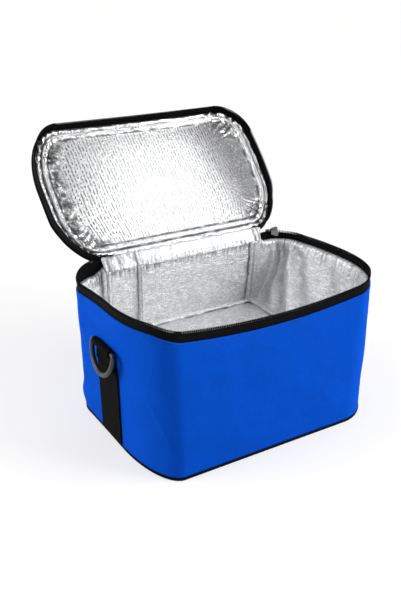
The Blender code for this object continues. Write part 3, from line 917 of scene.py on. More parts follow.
def lidPanelSpot(u, v):
    spot, depth = lidSpot(u, v, fold["lidPlane"])
    rise = lidCrown(depth) - lidCrown(0.0) * (1 - ease(depth, 0, 0.01))
    spot.z += lid["panelGap"] + rise + lid["panelUneven"] * crumple(spot, 24.0, 2) * ease(depth, 0.002, 0.02)
    return spot


bm = clothGrid(lid["panelAcross"], lid["panelDown"], lidPanelSpot, (0.30, 0.186), False, Vector((0, 0, 1)))
openLid(bm)
addPiece("lidPanel", bm, blueCloth, "lid", ["lid_panel"], lid["panelThick"])


def lidPipingAt(u):
    return lidOutline(u * wholeLength, piping["inset"])


bm = tubeGrid(lidPipingAt, pipingRadius, piping["across"], piping["sides"], wholeLength, Vector((0, 0, 1)))
openLid(bm)
addPiece("lidPiping", bm, blackTape, "lid", ["lid_piping"])


def liningFace(u, v):
    return lidSpot(u, v, lining["face"])


def pastBorder(depth, more):  # 0 on the rolls, 1 inside them
    return ease(depth, lining["border"] - lining["blur"], lining["border"] + more)


def cornerPleat(spot):
    angle = math.atan2(abs(spot.y) - bag["halfDepth"] + 0.05, abs(spot.x) - lid["half"] + 0.05)
    return math.sin(angle * lining["gathers"] + 5.0 * crumple(spot, 45.0, 3)) * cornerShare(spot)


def lidStrip(spot, depth):  # 1 on the crumpled strip
    left = 1 - ease(spot.x, *lining["stripRun"])
    end = lining["border"] + lining["strip"] * (0.15 + 0.85 * left)
    return pastBorder(depth, 0.001) * (1 - ease(depth, end - 0.003, end + 0.002))


def lidLiningSpot(u, v):
    spot, depth = liningFace(u, v)
    spot.z = lining["face"]
    inBorder = 1 - pastBorder(depth, 0.002)
    roll = abs(math.sin(math.pi * depth / lining["rollPitch"]))
    wobble = 0.8 + 0.5 * crumple(spot, 55.0, 2, 3)
    halfX, halfY = lining["pillowHalf"]
    overAll, onRolls = lining["fine"]
    puff = lining["rollHeight"] * roll * inBorder * wobble
    puff += lining["pillow"] * max(1 - (spot.x / halfX) ** 2, 0.0) * max(1 - (spot.y / halfY) ** 2, 0.0)
    puff += lining["gather"] * cornerPleat(spot) * (1 - ease(depth, *lining["gatherRun"]))
    puff += lining["stripCrumple"] * crumple(spot, 130.0, 3, 6) * lidStrip(spot, depth)
    puff += overAll * crumple(spot, 70.0, 3) + onRolls * crumple(spot, 160.0, 3, 5) * inBorder
    spot.z -= puff
    return spot


def lidCreaseShade(u, v):  # painted shade, 1 in the valleys between the rolls and in the corner gathers
    spot, depth = liningFace(u, v)
    line = abs(depth / lining["rollPitch"] - round(depth / lining["rollPitch"])) * lining["rollPitch"]
    broken = 0.75 + 0.9 * crumple(spot, 80.0, 3, 8)
    valley = 1.25 * bell(line, 0.0, lining["valley"]) * (depth < lining["border"] + 0.003)
    pleat = max(-cornerPleat(spot), 0.0) * (1 - ease(depth, *lining["gatherRun"]))
    return held(max(valley * broken, 0.9 * pleat))


def lidDashShade(u, v):  # painted shade of the dashes, strongest where the face turns from the light
    spot, depth = liningFace(u, v)
    dashes = lining["dashes"]
    rise, full, fall, end = lining["dashRight"]
    left = dashes["left"] * (1 - ease(spot.x, *lining["dashLeft"]))
    right = dashes["right"] * ease(spot.x, rise, full) * (1 - ease(spot.x, fall, end))
    top = dashes["top"] * ease(-spot.y, *lining["dashTop"])
    inside = pastBorder(depth, 0.003) * (1 - lidStrip(spot, depth))
    return min(dashes["all"] + left + right + top, 1.0) * inside


def lidSideShade(u, v):  # painted shade: the right side turns away to a plain grey, and the crumpled strip is shaded darker
    spot, depth = liningFace(u, v)
    start, lean, full = lining["shadeEdge"]
    right = lining["shade"] * ease(spot.x, start + lean * (spot.y + 0.05), full) * pastBorder(depth, 0.002)
    left = 1 - ease(spot.x, *lining["stripLeft"])
    plain, more = lining["stripShade"]
    strip = lidStrip(spot, depth) * (plain + more * left) * (0.8 + 1.2 * crumple(spot, 170.0, 3))
    return min(max(right, strip, 0.0), lining["shadeMost"])


def lidSewn(u, v):  # the quilted border is stitched down
    return 1 - ease(liningFace(u, v)[1], lining["border"], lining["border"] + lining["sewnRun"])


marks = {"creaseShade": lidCreaseShade, "grainAndDashShade": lidDashShade, "sideShade": lidSideShade, "sewn": lidSewn}
size = (2 * lid["half"], 2 * bag["halfDepth"])
bm = clothGrid(lining["across"], lining["down"], lidLiningSpot, size, False, Vector((0, 0, -1)), marks)
layFlat(bm)
openLid(bm)
nodes = ["lid_lining", "lid_insulation"]
lidLining = addPiece("lidLining", bm, lidFoil, "lid", nodes, lining["thick"])
settleCloth(lidLining, lining["settle"])

binding = {
    "radius": 0.0019,
    "lidInset": 0.0130,
    "lidSink": 0.0013,
    "crinkle": 0.22,
    "groove": 0.40,
    "grooveWidth": 0.15,
    "sides": 32,
    "lidAcross": 480,
    "lidSides": 14,
}


def roundSpot(along, angle, seed):  # place on a thin round seam, for its crinkles
    return Vector((along, math.cos(angle) * 0.004, math.sin(angle) * 0.004 + seed))


def lidBindingSize(u, angle):
    crinkle = crumple(roundSpot(u * wholeLength, angle, 1.0), 190.0, 3)
    return binding["radius"] * (1.0 + binding["crinkle"] * crinkle)


def rollGroove(angle, top, rolls):  # 1 in the lines between rolls laid side by side
    place = math.sin(angle - top)
    if math.cos(angle - top) < 0:
        return 0.0
    lines = [2 * k / rolls - 1 for k in range(1, rolls)]
    return max(bell(place, line, binding["grooveWidth"]) for line in lines)


def rollBinding(name, at, length, up, spec, node):  # a flat binding sewn into rolls that lie side by side
    def size(u, angle):
        turn = angle - spec["top"]
        flat = 1 / math.hypot(math.cos(turn) / spec["tall"], math.sin(turn) / spec["wide"])
        crinkle = crumple(roundSpot(u * length, angle, spec["seed"]), 130.0, 3)
        groove = 1 - binding["groove"] * rollGroove(angle, spec["top"], spec["rolls"])
        return flat * groove * (1.0 + 0.7 * binding["crinkle"] * crinkle)

    # painted shade in the grooves between the rolls and along both edges
    def creaseShade(u, v):
        angle = 2 * math.pi * v
        edge = ease(abs(math.sin(angle - spec["top"])), 0.90, 1.0)
        broken = 0.8 + 0.7 * crumple(Vector((u * length, v * 0.01, spec["seed"])), 90.0, 3)
        return min(max(rollGroove(angle, spec["top"], spec["rolls"]), edge) * max(broken, 0.0), 1.0)

    bm = tubeGrid(at, size, spec["across"], binding["sides"], length, up, spec["closed"], {"creaseShade": creaseShade})
    addPiece(name, bm, seamFoil, "body", [node])


def lidBindingAt(u):
    return lidOutline(u * wholeLength, binding["lidInset"], lining["face"] - binding["lidSink"])


def lidBindingCreaseShade(u, v):  # painted shade, dark along both edges
    edge = ease(abs(math.cos(2 * math.pi * v)), 0.70, 0.95)
    broken = 0.8 + 0.8 * crumple(Vector((u * wholeLength, v * 0.01, 1.0)), 90.0, 3)
    return held(edge * broken)


marks = {"creaseShade": lidBindingCreaseShade}
grid = (binding["lidAcross"], binding["lidSides"])
bm = tubeGrid(lidBindingAt, lidBindingSize, *grid, wholeLength, Vector((0, 0, 1)), True, marks)
openLid(bm)
addPiece("lidBinding", bm, seamFoil, "lid", ["lid_seam_binding"])
print("lid made")

# Hinge: blue cloth outside and foil inside, each in one length across the fold

hinge = {
    "foil": ((-0.1095, 0.1010), (-0.1105, 0.1065), (-0.1030, 0.1010)),  # ends on the body, fold and lid
    "cloth": ((-0.1140, 0.1120), (-0.1088, 0.1045), (-0.1020, 0.1000)),
    "width": 0.22,
    "foldShare": 0.6,  # of the way up
    "across": 260,
    "down": 44,
    "foilThick": 0.0004,
    "clothThick": 0.0008,
    "crinkle": 0.0010,
    "calmRun": (-0.085, -0.040),  # smoother to the right of this
    "ridge": 0.0014,
    "ridgeWidth": 0.0018,
    "ridges": (-0.1075, -0.1025, -0.0665, 0.0965, 0.1020),
    "shadowAside": 0.0028,
    "shadowWidth": 0.0011,
    "wrinkleRun": (-0.100, -0.055),
}


def closedToOpen(y, z):
    spot = lidSwing @ Vector((0.0, y, z))
    return spot.y, spot.z


foilLine = [(0.0820, 0.1572), (0.0838, 0.1596), (0.0860, 0.1622), (0.0882, 0.1650), (0.0905, 0.1690)]
foilLine += [(0.0922, 0.1716), (0.0945, 0.1722), (0.0965, 0.1712), (0.0990, 0.1692)]
foilLine += [closedToOpen(0.0895, 0.1784)]
clothLine = [(0.0927, 0.1500), (0.0927, 0.1600), (0.0927, 0.1680), (0.0929, 0.1700)]
clothLine += [(0.0936, 0.1708), closedToOpen(0.0929, 0.1730), closedToOpen(0.0927, 0.1770)]
clothLine += [closedToOpen(0.0926, 0.1792)]


def hingeWrinkle(x, v):
    return crumple(Vector((x * 1.6, v * 0.012, 4.0)), 70.0, 4)


def foilWave(x, v):  # how far the foil stands up
    calm = 1 - 0.7 * ease(x, *hinge["calmRun"])
    wave = hinge["crinkle"] * calm * max(0.6 + hingeWrinkle(x, v), 0.0)
    wave += 0.35 * hinge["crinkle"] * max(crumple(Vector((x, v * 0.03, 7.0)), 130.0, 3), 0.0)
    return wave + hinge["ridge"] * sum(bell(x, ridge, hinge["ridgeWidth"]) for ridge in hinge["ridges"])


def hingeSpot(points, ends, crinkled):
    at, length = polyPath([Vector((0.0, y, z)) for y, z in points])
    foot, crest, top = ends

    def place(u, v):
        spot = at(v)
        rise, fall = ease(v, 0.0, hinge["foldShare"]), ease(v, hinge["foldShare"], 1.0)
        first, last = (foot[k] + (crest[k] - foot[k]) * rise + (top[k] - crest[k]) * fall for k in (0, 1))
        spot.x = first + (last - first) * u
        if crinkled:
            free = ease(v, 0.0, 0.1) * (1 - ease(v, 0.9, 1.0))
            wave = foilWave(spot.x, v) * free
            spot.y -= wave
            spot.z += 0.5 * wave
        return spot

    return place, length


def hingeCreaseShade(u, v):  # painted shade: dark lines beside the rolls and the seams, and in the wrinkles at the left end
    first, last = hinge["foil"][0]
    x = first + (last - first) * u
    lines = max(bell(abs(x - ridge), hinge["shadowAside"], hinge["shadowWidth"]) for ridge in hinge["ridges"])
    wrinkle = hingeWrinkle(x, v)
    left = 1 - ease(x, *hinge["wrinkleRun"])
    wrinkles = max(-2.2 * wrinkle - 0.1, 0.0) * (0.12 + 0.88 * left)
    seam = bell(v, 0.97, 0.035) * (0.8 + 0.5 * wrinkle)
    hem = bell(v, 0.02, 0.03) * (0.7 + 0.8 * wrinkle)
    return held(max(0.8 * lines, wrinkles, seam, hem))


grid = (hinge["across"], hinge["down"])
hingePlace, length = hingeSpot(foilLine, hinge["foil"], True)
marks = {"creaseShade": hingeCreaseShade}
bm = clothGrid(*grid, hingePlace, (hinge["width"], length), False, Vector((0, -1, 0.5)), marks)
nodes = ["hinge_lining", "lid_hinge_lining"]
hingeFoil = addPiece("hingeFoil", bm, stripFoil, None, nodes, hinge["foilThick"])
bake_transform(hingeFoil)

place, length = hingeSpot(clothLine, hinge["cloth"], False)
bm = clothGrid(*grid, place, (hinge["width"], length), False, Vector((0, 1, 0)))
nodes = ["hinge_panel", "lid_hinge_panel"]
hingeCloth = addPiece("hingeCloth", bm, blueCloth, None, nodes, hinge["clothThick"])
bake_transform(hingeCloth)
print("hinge made")

# Inside: loose foil lining that hangs from the rim, with bound seams

liner = {
    "top": 0.1537,
    "topInset": 0.0028,
    "shoulder": 0.0092,  # stands this far in where it rolls over the foam
    "roll": 0.05,  # share of the way down
    "rollDrop": 0.003,
    "rollRise": 0.0014,
    "floor": 0.0790,
    "sides": {
        "leftBack": -0.116, "left": -0.116, "right": 0.091,
        "rightBack": 0.091, "front": -0.066, "back": 0.085,
    },
    "radius": 0.010,
    "slope": 1.25,  # leans in more towards the floor
    "across": 420,
    "down": 80,
    "thick": 0.0004,
    "foldPitch": 0.0260,
    "foldHeight": 0.0042,
    "slack": 0.0012,
    "pleatPitch": 0.0056,
    "pleatRise": 0.0007,
    "pucker": 0.0026,
    "uneven": 0.0009,
    "fine": 0.0004,
    "backFlat": (0.070, 0.083),
    "backRise": 0.0080,  # stands higher behind the hinge's foil
    "riseStart": (0.078, 0.083),
    "riseEnds": (-0.124, -0.108, 0.101, 0.109),
    "settle": {"pressure": 3.0, "bending": 0.2, "frames": 16, "cap": 0.0025},
    "rightFolds": [  # place at the rim and at the floor, from the hinge's end; half width; depth
        (0.006, 0.050, 0.0035, -0.8),
        (0.015, 0.066, 0.0045, 0.7),
        (0.0195, 0.076, 0.0022, -0.6),
        (0.026, 0.085, 0.0060, 1.0),
        (0.037, 0.096, 0.0050, -0.5),
        (0.052, 0.111, 0.0070, 0.9),
        (0.104, 0.150, 0.0080, 0.8),
    ],
}


def floorAt(along, inset=0.0):
    turn = (liner["radius"], liner["radius"])
    return planAt(along, liner["floor"], inset, liner["sides"], liner["radius"], turn, turn)


def rimPleat(along):
    size = 0.65 + 0.8 * crumple(Vector((along, 3.0, 2.0)), 45.0, 2)
    drift = 2.6 * crumple(Vector((along, 0.0, 9.0)), 70.0, 3)
    return size * math.sin(along * 2 * math.pi / liner["pleatPitch"] + drift)


def linerFold(along, spot, v):  # folds hang straight down
    out = outwardAt(along)
    across = spot.y * out.x - spot.x * out.y
    drift = 1.8 * crumple(Vector((across, v * 0.04, along // 0.3)), 24.0, 2)
    fold = math.sin(across * 2 * math.pi / liner["foldPitch"] + drift)
    return fold + 0.35 * math.sin(across * 2 * math.pi / (0.43 * liner["foldPitch"]) + 2 * drift)


def rightFold(along, v):  # how deep the lining folds back at the right end, and 1 where that end lies
    away = zipLength - along
    depth = 0.0
    for top, bottom, width, size in liner["rightFolds"]:
        middle = top + (bottom - top) * v
        depth += size * bell(away, middle, width * (1 + 0.5 * v))
    return depth, ease(away, -0.004, 0.006) * (1 - ease(away, 0.140, 0.190))


def linerTop(along, v):  # rolls over the foam at the rim
    roll = min(v / liner["roll"], 1.0)
    inset = liner["topInset"] + (liner["shoulder"] - liner["topInset"]) * ease(roll, 0.0, 1.0)
    top = outlineAt(along, bag["wallHeight"], inset)
    level = liner["top"] - rimDrop(along) - liner["rollDrop"] * roll * roll
    top.z = level + liner["rollRise"] * math.sin(math.pi * roll)
    top.z += liner["pleatRise"] * rimPleat(along) * (1 - ease(v, 0.05, 0.20))
    start, full, fall, end = liner["riseEnds"]
    behind = ease(top.x, start, full) * (1 - ease(top.x, fall, end))
    top.z += liner["backRise"] * ease(top.y, *liner["riseStart"]) * behind
    return top, roll


def linerSpot(u, v):
    along = u * wholeLength
    share = max(v - liner["roll"], 0.0) / (1 - liner["roll"])
    top, roll = linerTop(along, v)
    bottom = floorAt(along)
    spot = top.lerp(bottom, share)
    spot.x = top.x + (bottom.x - top.x) * share ** liner["slope"]
    spot.y = top.y + (bottom.y - top.y) * share ** liner["slope"]
    back = ease(spot.y, *liner["backFlat"])  # the back wall stays flat
    middle = ease(v, 0.05, 0.35) * (1 - ease(v, 0.75, 1.0))
    valley, right = rightFold(along, v)
    drape = liner["foldHeight"] * linerFold(along, spot, v) * middle * (1 - back) * (1 - right)
    drape -= liner["foldHeight"] * valley * right * ease(v, 0.03, 0.22) * (1 - ease(v, 0.85, 1.0))
    drape += liner["pucker"] * rimPleat(along) * (1 - ease(v, 0.06, 0.24)) * ease(v, 0.0, 0.05)
    rough = liner["uneven"] * crumple(spot, 48.0, 3) * ease(v, 0.05, 0.15)
    drape += rough + liner["fine"] * crumple(spot, 150.0, 3) * roll
    spot -= outwardAt(along) * (drape + liner["slack"] * middle)
    return spot


def linerCreaseShade(u, v):  # painted shade: dark between the pleats and in the folds
    along = u * wholeLength
    pleat = max(-rimPleat(along) - 0.15, 0.0) * (1 - ease(v, 0.05, 0.22)) * ease(v, 0.0, 0.03)
    spot = outlineAt(along, bag["wallHeight"])
    hang = ease(v, 0.06, 0.30) * (1 - ease(v, 0.85, 1.0))
    valley = max(-linerFold(along, spot, v) - 0.25, 0.0) * hang * (1 - ease(spot.y, 0.070, 0.085))
    depth, right = rightFold(along, v)
    shade = 0.10 + 0.62 * depth * (0.8 + 0.5 * crumple(Vector((along, v * 0.06, 1.0)), 90.0, 3))
    shade *= right * ease(v, 0.06, 0.20)
    return held(2.2 * pleat + 0.5 * valley * (1 - right) + shade)


def linerSewn(u, v):  # held at the rim, at the floor and along the back
    back = ease(outlineAt(u * wholeLength, bag["wallHeight"]).y, 0.060, 0.080)
    return max(1 - ease(v, 0.04, 0.14), ease(v, 0.90, 0.98), back)


marks = {"creaseShade": linerCreaseShade, "sewn": linerSewn}
bm = clothGrid(liner["across"], liner["down"], linerSpot, (wholeLength, 0.10), True, None, marks)
bmesh.ops.reverse_faces(bm, faces=bm.faces)
wallLining = addPiece("wallLining", bm, wallFoil, "body", ["wall_lining"], liner["thick"])
settleCloth(wallLining, liner["settle"])

floorFoil = {
    "middle": (-0.012, 0.009),
    "reach": 0.075,
    "rise": 0.0022,
    "uneven": 0.0009,
    "fine": 0.0004,
    "across": 150,
    "down": 120,
}


def floorSpot(u, v):
    middle = Vector((*floorFoil["middle"], liner["floor"]))
    spot, depth = squareSpot(2 * u - 1, 2 * v - 1, floorAt, middle, floorFoil["reach"])
    lift = floorFoil["rise"] * ease(depth, 0.0, 0.02) + floorFoil["uneven"] * crumple(spot, 45.0, 3)
    spot.z += lift + floorFoil["fine"] * crumple(spot, 140.0, 3)
    return spot


grid = (floorFoil["across"], floorFoil["down"])
bm = clothGrid(*grid, floorSpot, (0.20, 0.15), False, Vector((0, 0, 1)))
addPiece("floorLining", bm, wallFoil, "body", ["base_lining"], liner["thick"])

floorRoll = {
    "inset": 0.0016,
    "lift": 0.0012,
    "wide": 0.0058,
    "tall": 0.0031,
    "rolls": 2,
    "top": math.pi / 2,  # the way the rolls face, as an angle round the seam
    "seed": 2.0,
    "across": 480,
    "closed": True,
}


def floorSeamAt(u):
    spot = floorAt(u * wholeLength, floorRoll["inset"])
    spot.z += floorRoll["lift"]
    return spot


rollBinding("floorSeam", floorSeamAt, wholeLength, Vector((0, 0, 1)), floorRoll, "base_seam_binding")

seams = {
    "back_seam_binding": {"name": "backSeam", "x": -0.0665, "wide": 0.0036, "rolls": 2, "lean": 0.0},
    "corner_binding_left": {"name": "leftSeam", "x": -0.1085, "wide": 0.0060, "rolls": 3, "lean": 0.0},
    "corner_binding_right": {"name": "rightSeam", "x": 0.0865, "wide": 0.0066, "rolls": 3, "lean": 0.0045},
}
seamLine = [  # share of the lean, depth and height
    (0.0, 0.0832, liner["floor"] + 0.002),
    (0.2, 0.0822, 0.10),
    (0.7, 0.0820, 0.13),
    (1.0, 0.0824, 0.1585),
]
for node, seam in seams.items():
    x = seam["x"]
    at, length = polyPath([Vector((x + share * seam["lean"], y, z)) for share, y, z in seamLine])
    seam.update({"tall": 0.0026, "top": math.pi, "seed": x * 40, "across": 90, "closed": False})
    rollBinding(seam["name"], at, length, Vector((1, 0, 0)), seam, node)

foam = {
    "wallInset": 0.0024,
    "wallThick": 0.0050,
    "wallGrid": (200, 24),
    "low": 0.0040,
    "high": 0.1480,
    "baseInset": 0.0085,
    "baseZ": 0.0016,
    "baseThick": 0.0055,
    "baseGrid": (60, 40),
}


def wallFoamSpot(u, v):
    along = u * wholeLength
    z = foam["low"] + (foam["high"] - foam["low"]) * v
    spot = outlineAt(along, z, foam["wallInset"])
    spot.x -= tuckIn(outlineAt(along, z))
    spot.z -= rimDrop(along) * v * v
    return spot


bm = clothGrid(*foam["wallGrid"], wallFoamSpot, (wholeLength, 0.15), True)
wallFoam = addPiece("wallFoam", bm, paleFoam, "body", ["wall_insulation"], foam["wallThick"])


def baseFoamSpot(u, v):
    edgeAt = lambda along, inset: outlineAt(along, 0.0, foam["baseInset"] + inset)
    spot = squareSpot(2 * u - 1, 2 * v - 1, edgeAt, Vector((0, 0, 0)), bag["halfDepth"])[0]
    spot.z = foam["baseZ"]
    return spot


bm = clothGrid(*foam["baseGrid"], baseFoamSpot, (0.28, 0.18), False, Vector((0, 0, -1)))
baseFoam = addPiece("baseFoam", bm, paleFoam, "body", ["base_insulation"], foam["baseThick"])
print("inside made")

# Strap webbing and D-rings on the ends

ring = {
    "wire": 0.0023,
    "bow": 0.0027,
    "half": 0.0258,
    "drop": 0.0300,
    "corner": 0.0030,
    "tilt": math.radians(8.0),
    "around": 180,
    "sides": 16,
}


def endSpot(side, out, y, up, soft=False):  # out from the end wall, up along it
    straight = webbingX(up)
    z = webbing["bottom"] + up
    x = straight
    if soft:
        onWall = endWall(side, y, z) + webbing["wallGap"]
        x += (onWall - straight) * (1 - ease(z, *webbing["straightRun"]))
    return Vector((side * (x + out), y, z - out * webbing["lean"]))


def webbingLine():
    half = webbing["thick"] / 2
    tall = webbing["loopZ"] - webbing["bottom"]
    centre = webbing["hole"] + webbing["thick"]
    turn = webbing["hole"] + half
    line = [Vector((half, 0.0, 0.0)), Vector((half, 0.0, tall - 0.004))]
    for k in range(25):
        angle = math.pi - k / 24 * webbing["loopTurn"]
        line.append(Vector((centre + turn * math.cos(angle), 0.0, tall + turn * math.sin(angle))))
    line.append(Vector((3 * half, 0.0, tall - 0.0075)))
    line.append(Vector((3 * half, 0.0, tall - webbing["foldLength"])))
    return polyPath(line)


def webbingSpot(side):
    at, length = webbingLine()
    tall = webbing["loopZ"] - webbing["bottom"]

    def place(u, v):
        spot = at(u)
        loop = ease(spot.z, tall - 0.030, tall - 0.006)
        width = webbing["width"] * (1 - (1 - webbing["narrow"]) * loop)
        across = 2 * v - 1
        rib = webbing["ribHeight"] * math.sin(v * math.pi * 2 * webbing["ribs"])
        wave = webbing["wave"] * crumple(Vector((spot.z, across * 0.02, side)), 40.0, 2) * (1 - loop)
        edge = webbing["edgeWave"] * crumple(Vector((spot.z, side, 7.0)), 60.0, 2)
        y = webbing["y"] + across * width / 2 + edge
        return endSpot(side, spot.x + rib + max(wave, 0.0), y, spot.z, True)

    return place, length


def ringArc(middle, across, down, turn, steps):  # part of an ellipse that hangs below the bar
    spots = []
    for k in steps:
        angle = turn(k)
        spots.append((middle + across * math.cos(angle), -ring["corner"] + down * math.sin(angle)))
    return spots


def ringSpots(side):
    corner = ring["corner"]
    inner = ring["half"] - corner
    line = ringArc(inner, corner, corner, lambda k: math.pi / 2 * (1 - k / 8), range(9))
    line += ringArc(0.0, ring["half"], corner - ring["drop"], lambda k: math.pi * k / 64, range(1, 64))
    line += ringArc(-inner, corner, corner, lambda k: math.pi / 2 * (2 - k / 8), range(9))
    out = webbing["hole"] + webbing["thick"]
    axis = endSpot(side, out, webbing["y"], webbing["loopZ"] - webbing["bottom"])
    lean, drop = math.sin(ring["tilt"]), math.cos(ring["tilt"])
    return [axis + Vector((-side * z * lean, y, z * drop)) for y, z in line]


ends = {-1: "left", 1: "right"}
for side, name in ends.items():
    place, length = webbingSpot(side)
    bm = clothGrid(webbing["across"], webbing["down"], place, (length, webbing["width"]), False)
    nodes = ["strap_webbing_" + name]
    addPiece(name + "Webbing", bm, blackWebbing, "body", nodes, webbing["thick"], 0.0)

for side, name in ends.items():
    at, length = polyPath(ringSpots(side), True)
    barShare = 2 * (ring["half"] - ring["corner"]) / length  # the last stretch is the bar in the loop

    def ringRadius(u, angle):
        bow = ease(u, 0.02, 0.10) * (1 - ease(u, 0.90 - barShare, 0.98 - barShare))
        return ring["wire"] + (ring["bow"] - ring["wire"]) * bow

    bm = tubeGrid(at, ringRadius, ring["around"], ring["sides"], length, Vector((1, 0, 0)))
    addPiece(name + "Ring", bm, ringPlastic, "ring_" + name, ["d_ring_" + name])
print("webbing and rings made")

# Carry handle on the outside of the lid

handle = {
    "width": 0.025,
    "thick": 0.0016,
    "half": 0.078,
    "archHalf": 0.050,
    "archFlat": 0.006,
    "rise": 0.022,
    "gap": 0.0008,
    "ribs": 9,
    "ribHeight": 0.0001,
    "grid": (140, 36),
    "patch": 0.026,
    "over": 0.002,  # the patches reach this far past the handle
    "patchThick": 0.0008,
    "patchGap": 0.0005,
    "patchSwell": 0.0009,
    "patchGrid": (30, 30),
}
handleSeat = fold["lidPlane"] + lid["crown"] + handle["gap"]


def handleLine():
    flat = handle["archHalf"] + handle["archFlat"]
    line = [Vector((-handle["half"], 0.0, 0.0)), Vector((-flat, 0.0, 0.0))]
    for k in range(1, 40):
        across = 2 * k / 40 - 1
        rise = handle["rise"] * math.cos(math.pi / 2 * across) ** 2
        line.append(Vector((handle["archHalf"] * across, 0.0, rise)))
    line += [Vector((flat, 0.0, 0.0)), Vector((handle["half"], 0.0, 0.0))]
    return polyPath(line)


handleAt, handleLength = handleLine()


def handleSpot(u, v):
    spot = handleAt(u)
    across = 2 * v - 1
    spot.y = across * handle["width"] / 2
    rib = handle["ribHeight"] * math.sin(v * math.pi * 2 * handle["ribs"])
    spot.z += handleSeat + handle["thick"] / 2 + rib
    return spot


bm = clothGrid(*handle["grid"], handleSpot, (handleLength, handle["width"]), False, Vector((0, 0, 1)))
openLid(bm)
addPiece("lidHandle", bm, blackWebbing, "lid", ["lid_handle"], handle["thick"], 0.0)

for side, name in ends.items():
    halfX, halfY = handle["patch"] / 2, handle["width"] / 2 + handle["over"]
    middleX = side * (handle["half"] + handle["over"] - halfX)

    def patchSpot(u, v):
        a, b = 2 * u - 1, 2 * v - 1
        lift = handle["patchSwell"] * (1 - max(abs(a), abs(b)) ** 6)
        z = handleSeat + handle["thick"] + handle["patchGap"] + lift
        return Vector((middleX + a * halfX, b * halfY, z))

    bm = clothGrid(*handle["patchGrid"], patchSpot, (handle["patch"], 2 * halfY), False, Vector((0, 0, 1)))
    openLid(bm)
    nodes = ["handle_patch_" + name]
    addPiece(name + "Patch", bm, blackWebbing, "lid", nodes, handle["patchThick"])
print("handle made")

# Zip slider and pull keep their own shapes
for name in ("zip_slider", "zip_pull"):
    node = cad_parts[name]
    node.data.materials.clear()
    node.data.materials.append(zipGrey)

# Stitching

wallStitch = {"pitch": 0.0034, "size": (0.0026, 0.0006, 0.0005), "below": 0.0042}
spots = []
for k in range(int(wholeLength / wallStitch["pitch"])):
    along = k * wallStitch["pitch"]
    out = outwardAt(along)
    u, v = along / wholeLength, 1 - wallStitch["below"] / wall["top"]
    spots.append((wallSpot(u, v), out.cross(Vector((0, 0, 1))), out))
stitchRow("rimStitches", spots, wallStitch["size"], blueThread, "body")

hingeStitch = {"pitch": 0.0034, "size": (0.0022, 0.0008, 0.0007), "length": 0.205, "up": 0.07}
spots = []
for k in range(int(hingeStitch["length"] / hingeStitch["pitch"])):
    u = (k + 0.5) * hingeStitch["pitch"] / hingeStitch["length"]
    spots.append((hingePlace(u, hingeStitch["up"]), Vector((1, 0, 0)), Vector((0, -1, 0.2))))
stitchRow("hingeStitches", spots, hingeStitch["size"], greyThread, "body")
print("stitching made")

# Stage, light and camera

stage = {
    "floor": (0.42, 0.415, 0.405),
    "size": 14.0,
    "lift": 0.60,  # glow that the camera sees near the bag and far from it
    "farLift": 0.80,
    "liftRun": (0.45, 1.6),
    "world": 0.54,
    "worldRun": (0.05, 0.45),  # heights of the white horizon and the grey above it
    "behindCamera": (-0.50, -0.85, 0.15),
    "dimming": 0.92,
}


def cameraSees(tree):  # rays that show the background itself
    rays = tree.nodes.new("ShaderNodeLightPath")
    seen = calc(tree, "MAXIMUM", rays.outputs["Is Camera Ray"], rays.outputs["Is Glossy Ray"])
    return calc(tree, "MAXIMUM", seen, rays.outputs["Is Transmission Ray"])


floorMesh = bpy.data.meshes.new("studioFloor")
bm = bmesh.new()
bmesh.ops.create_grid(bm, x_segments=4, y_segments=4, size=stage["size"])
bm.to_mesh(floorMesh)
bm.free()
studioFloor = bpy.data.objects.new("studioFloor", floorMesh)
scene.collection.objects.link(studioFloor)
floorFinish, tree, shader = plainFinish("studioFloor", {"Base Color": stage["floor"], "Roughness": 0.95})
shader.inputs["Specular IOR Level"].default_value = 0.0
shader.inputs["Emission Color"].default_value = (1.0, 1.0, 1.0, 1.0)
away = tree.nodes.new("ShaderNodeVectorMath")
away.operation = "LENGTH"
tree.links.new(coords(tree, "Object"), away.inputs[0])
far = tree.nodes.new("ShaderNodeMapRange")
far.inputs["From Min"].default_value, far.inputs["From Max"].default_value = stage["liftRun"]
far.inputs["To Min"].default_value = stage["lift"]
far.inputs["To Max"].default_value = stage["farLift"]
tree.links.new(away.outputs["Value"], far.inputs["Value"])
tree.links.new(calc(tree, "MULTIPLY", cameraSees(tree), far.outputs[0]), shader.inputs["Emission Strength"])
floorMesh.materials.append(floorFinish)

world = bpy.data.worlds.new("studio")
scene.world = world
world.use_nodes = True
tree = world.node_tree
sky = tree.nodes["Background"]
split = tree.nodes.new("ShaderNodeSeparateXYZ")
tree.links.new(coords(tree, "Generated"), split.inputs[0])
ramp = tree.nodes.new("ShaderNodeValToRGB")
horizon, above = ramp.color_ramp.elements
horizon.position, above.position = stage["worldRun"]
horizon.color = (1.0, 1.0, 1.0, 1.0)
above.color = (stage["world"], stage["world"], stage["world"] * 1.02, 1.0)
tree.links.new(split.outputs["Z"], ramp.inputs[0])
facing = tree.nodes.new("ShaderNodeVectorMath")  # the room is dimmer behind the camera
facing.operation = "DOT_PRODUCT"
tree.links.new(coords(tree, "Generated"), facing.inputs[0])
facing.inputs[1].default_value = stage["behindCamera"]
dim = calc(tree, "MULTIPLY_ADD", facing.outputs["Value"], 1.6, -0.45)
dim.node.use_clamp = True
tree.links.new(ramp.outputs[0], sky.inputs["Color"])
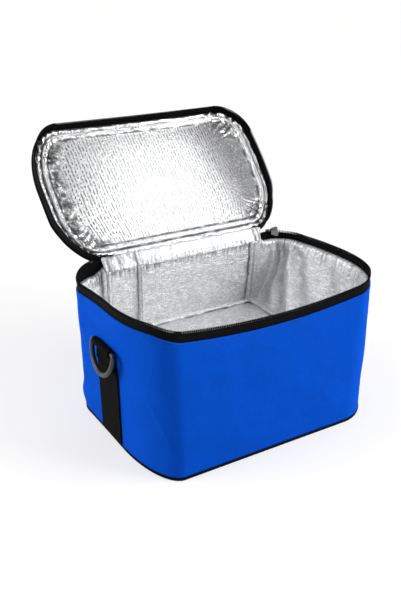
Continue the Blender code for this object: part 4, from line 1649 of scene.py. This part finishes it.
low = calc(tree, "MULTIPLY_ADD", split.outputs["Z"], -4.0, 1.6)  # 1 near the horizon
low.node.use_clamp = True
shown = calc(tree, "MULTIPLY", dim, lessen(tree, cameraSees(tree), low))
tree.links.new(lessen(tree, shown, stage["dimming"]), sky.inputs["Strength"])

lamps = {
    "overhead": {
        "place": (0.53, -0.22, 1.38), "aim": (0.0, 0.168, 0.227),
        "size": (0.56, 0.36), "watts": 1.30,
    },
    "leftBox": {
        "place": (-1.22, 0.42, 0.75), "aim": (0.0, 0.0, 0.08),
        "size": (0.8, 0.8), "watts": 11.5,
    },
    "rightBox": {
        "place": (1.15, -0.95, 0.95), "aim": (0.0, 0.0, 0.08),
        "size": (0.9, 0.8), "watts": 22.0,
    },
}
for name, spec in lamps.items():
    light = bpy.data.lights.new(name, "AREA")
    light.shape = "RECTANGLE"
    light.size, light.size_y = spec["size"]
    light.energy = spec["watts"]
    lamp = bpy.data.objects.new(name, light)
    scene.collection.objects.link(lamp)
    lamp.location = spec["place"]
    aim = Vector(spec["aim"]) - Vector(spec["place"])
    lamp.rotation_mode = "QUATERNION"
    lamp.rotation_quaternion = aim.to_track_quat("-Z", "Y")

photo = {
    "tall": 601,
    "focal": 774.4,  # pixels
    "azimuth": math.radians(-30.80),
    "elevation": math.radians(24.15),
    "distance": 0.9426,
    "target": (0.0106, 0.0762, 0.0993),
    "sensor": 36.0,  # millimetres
}
camera = bpy.data.objects.new("camera", bpy.data.cameras.new("camera"))
scene.collection.objects.link(camera)
level, rise = math.cos(photo["elevation"]), math.sin(photo["elevation"])
back = Vector((math.sin(photo["azimuth"]) * level, -math.cos(photo["azimuth"]) * level, rise))
camera.location = Vector(photo["target"]) + back * photo["distance"]
camera.rotation_mode = "QUATERNION"
camera.rotation_quaternion = (-back).to_track_quat("-Z", "Y")
camera.data.sensor_width = photo["sensor"]
camera.data.lens = photo["sensor"] * photo["focal"] / photo["tall"]
camera.data.clip_start = 0.01
scene.camera = camera
print("stage set")
